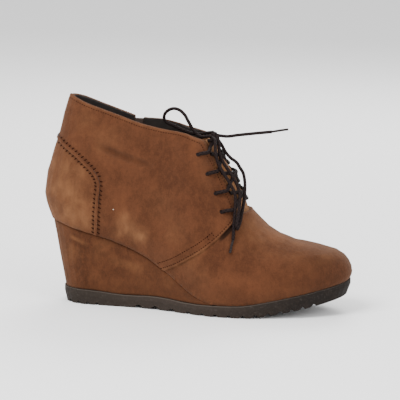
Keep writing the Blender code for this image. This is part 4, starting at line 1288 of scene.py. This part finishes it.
# %% Way of a strand
def out_of_hole(index, side, aim):
    """Points from inside the boot through a hole and on towards a place."""
    middle, normal = hole_frame(index, side)
    inside = middle - normal * 0.0030
    in_hole = middle - normal * 0.0008 + Vector((0.0006, 0, 0.0001))
    on_leather = middle + normal * (STRAND_WIDE / 2 + 0.0001)
    return [inside, in_hole, on_leather + (aim - middle).normalized() * 0.0024]


def strand_points(index, side, over):
    """Points of one strand, from its hole to the far facing or to the knot."""
    low = LACE_HOLES[index][1]
    climb = TOP_CLIMB if index == TOP else LACE_HOLES[index + 1][1] - low
    start_across, start_up, _ = STRAND[1]
    aim = on_throat(-side * start_across, low + climb * start_up)[0]
    points = out_of_hole(index, side, aim)
    for across, up, rise in STRAND[1:]:
        if index == TOP and across > 0.5:
            continue
        place, out = on_throat(-side * across, low + climb * up)
        lift = over * bell(across, 0.35)
        points.append(place + out * (STRAND_WIDE / 2 + rise + lift))
    if index == TOP:
        points += [MIDDLE + Vector((0.0008, -side * 0.0030, -0.0022)), MIDDLE]
    return points


# %% Laced strands
def crossing(name, index, node):
    """Pair of strands from one pair of holes."""
    shape = bmesh.new()
    for side, over in ((-1, OVER), (1, 0.0)):
        route = through(strand_points(index, side, over), 0.0009)
        add_tube(shape, route, STRAND_WIDE / 2, 12)
    return attach(to_object(name, shape, LACE), node)


for index, (name, node) in enumerate((
    ("strands_1", "lace_cross_1"), ("strands_2", "lace_cross_2"),
    ("strands_3", "lace_cross_3"), ("strands_top", "lace_top"),
)):
    crossing(name, index, node)

# %% [markdown]
# The zip is a woven tape with two rows of metal teeth that mesh in its middle, sewn in behind
# the slot of the inner side. Real teeth are cast with hooks, but closed and seen from
# outside they are a ladder of small bars, each a little left or right of the one before. So
# each tooth is a small box, set upright on the tape where a level ray meets it.

# %% Zip
ZIP_X = 0.030
TOOTH = (0.0024, 0.00062, 0.0009)
TOOTH_PITCH, TOOTH_LEAN = 0.00085, 0.0007


def add_tooth(shape, tree, lean, height):
    """Small box on the tape, beside the middle of the zip by lean."""
    start = Vector((ZIP_X + lean, 0.2, height))
    place, normal, _, _ = tree.ray_cast(start, Vector((0, -1, 0)))
    if place is None:
        return
    forward = normal.cross(Vector((0, 0, 1))).normalized()
    upright = forward.cross(normal).normalized()
    turned = Matrix((forward, upright, normal)).transposed().to_4x4()
    spot = Matrix.Translation(place + normal * 0.0002) @ turned @ Matrix.Diagonal((*TOOTH, 1))
    bmesh.ops.create_cube(shape, size=1, matrix=spot)


def zip_closure():
    tape_made = to_object("zip_tape", fine_copy("zip_chain", 0.006), TAPE)
    attach(tape_made, "zip_chain")
    tree, teeth = lookup(tape_made), bmesh.new()
    low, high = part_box("zip_chain")
    height, count = low[2] + 0.002, 0
    while height < high[2] - 0.0015:
        add_tooth(teeth, tree, TOOTH_LEAN if count % 2 else -TOOTH_LEAN, height)
        height += TOOTH_PITCH
        count += 1
    attach(to_object("zip_teeth", teeth, NICKEL))
    print("zip", count, "teeth")


zip_closure()

# %% [markdown]
# A row of fine stitches on each side of the slot holds the tape. They are set out on an
# upright line of the side view, like those of the other seams.

# %% Stitches of the zip
ZIP_LOW, ZIP_LONG, ZIP_OFFSET = 0.0790, 0.0735, 0.0062
zip_line = [
    Vector((ZIP_X, 0, ZIP_LOW + LINE_STEP * i)) for i in range(int(ZIP_LONG / LINE_STEP))
]
stitched("zip_stitches", "fine", [(zip_line, 1, offset) for offset in (-ZIP_OFFSET, ZIP_OFFSET)])
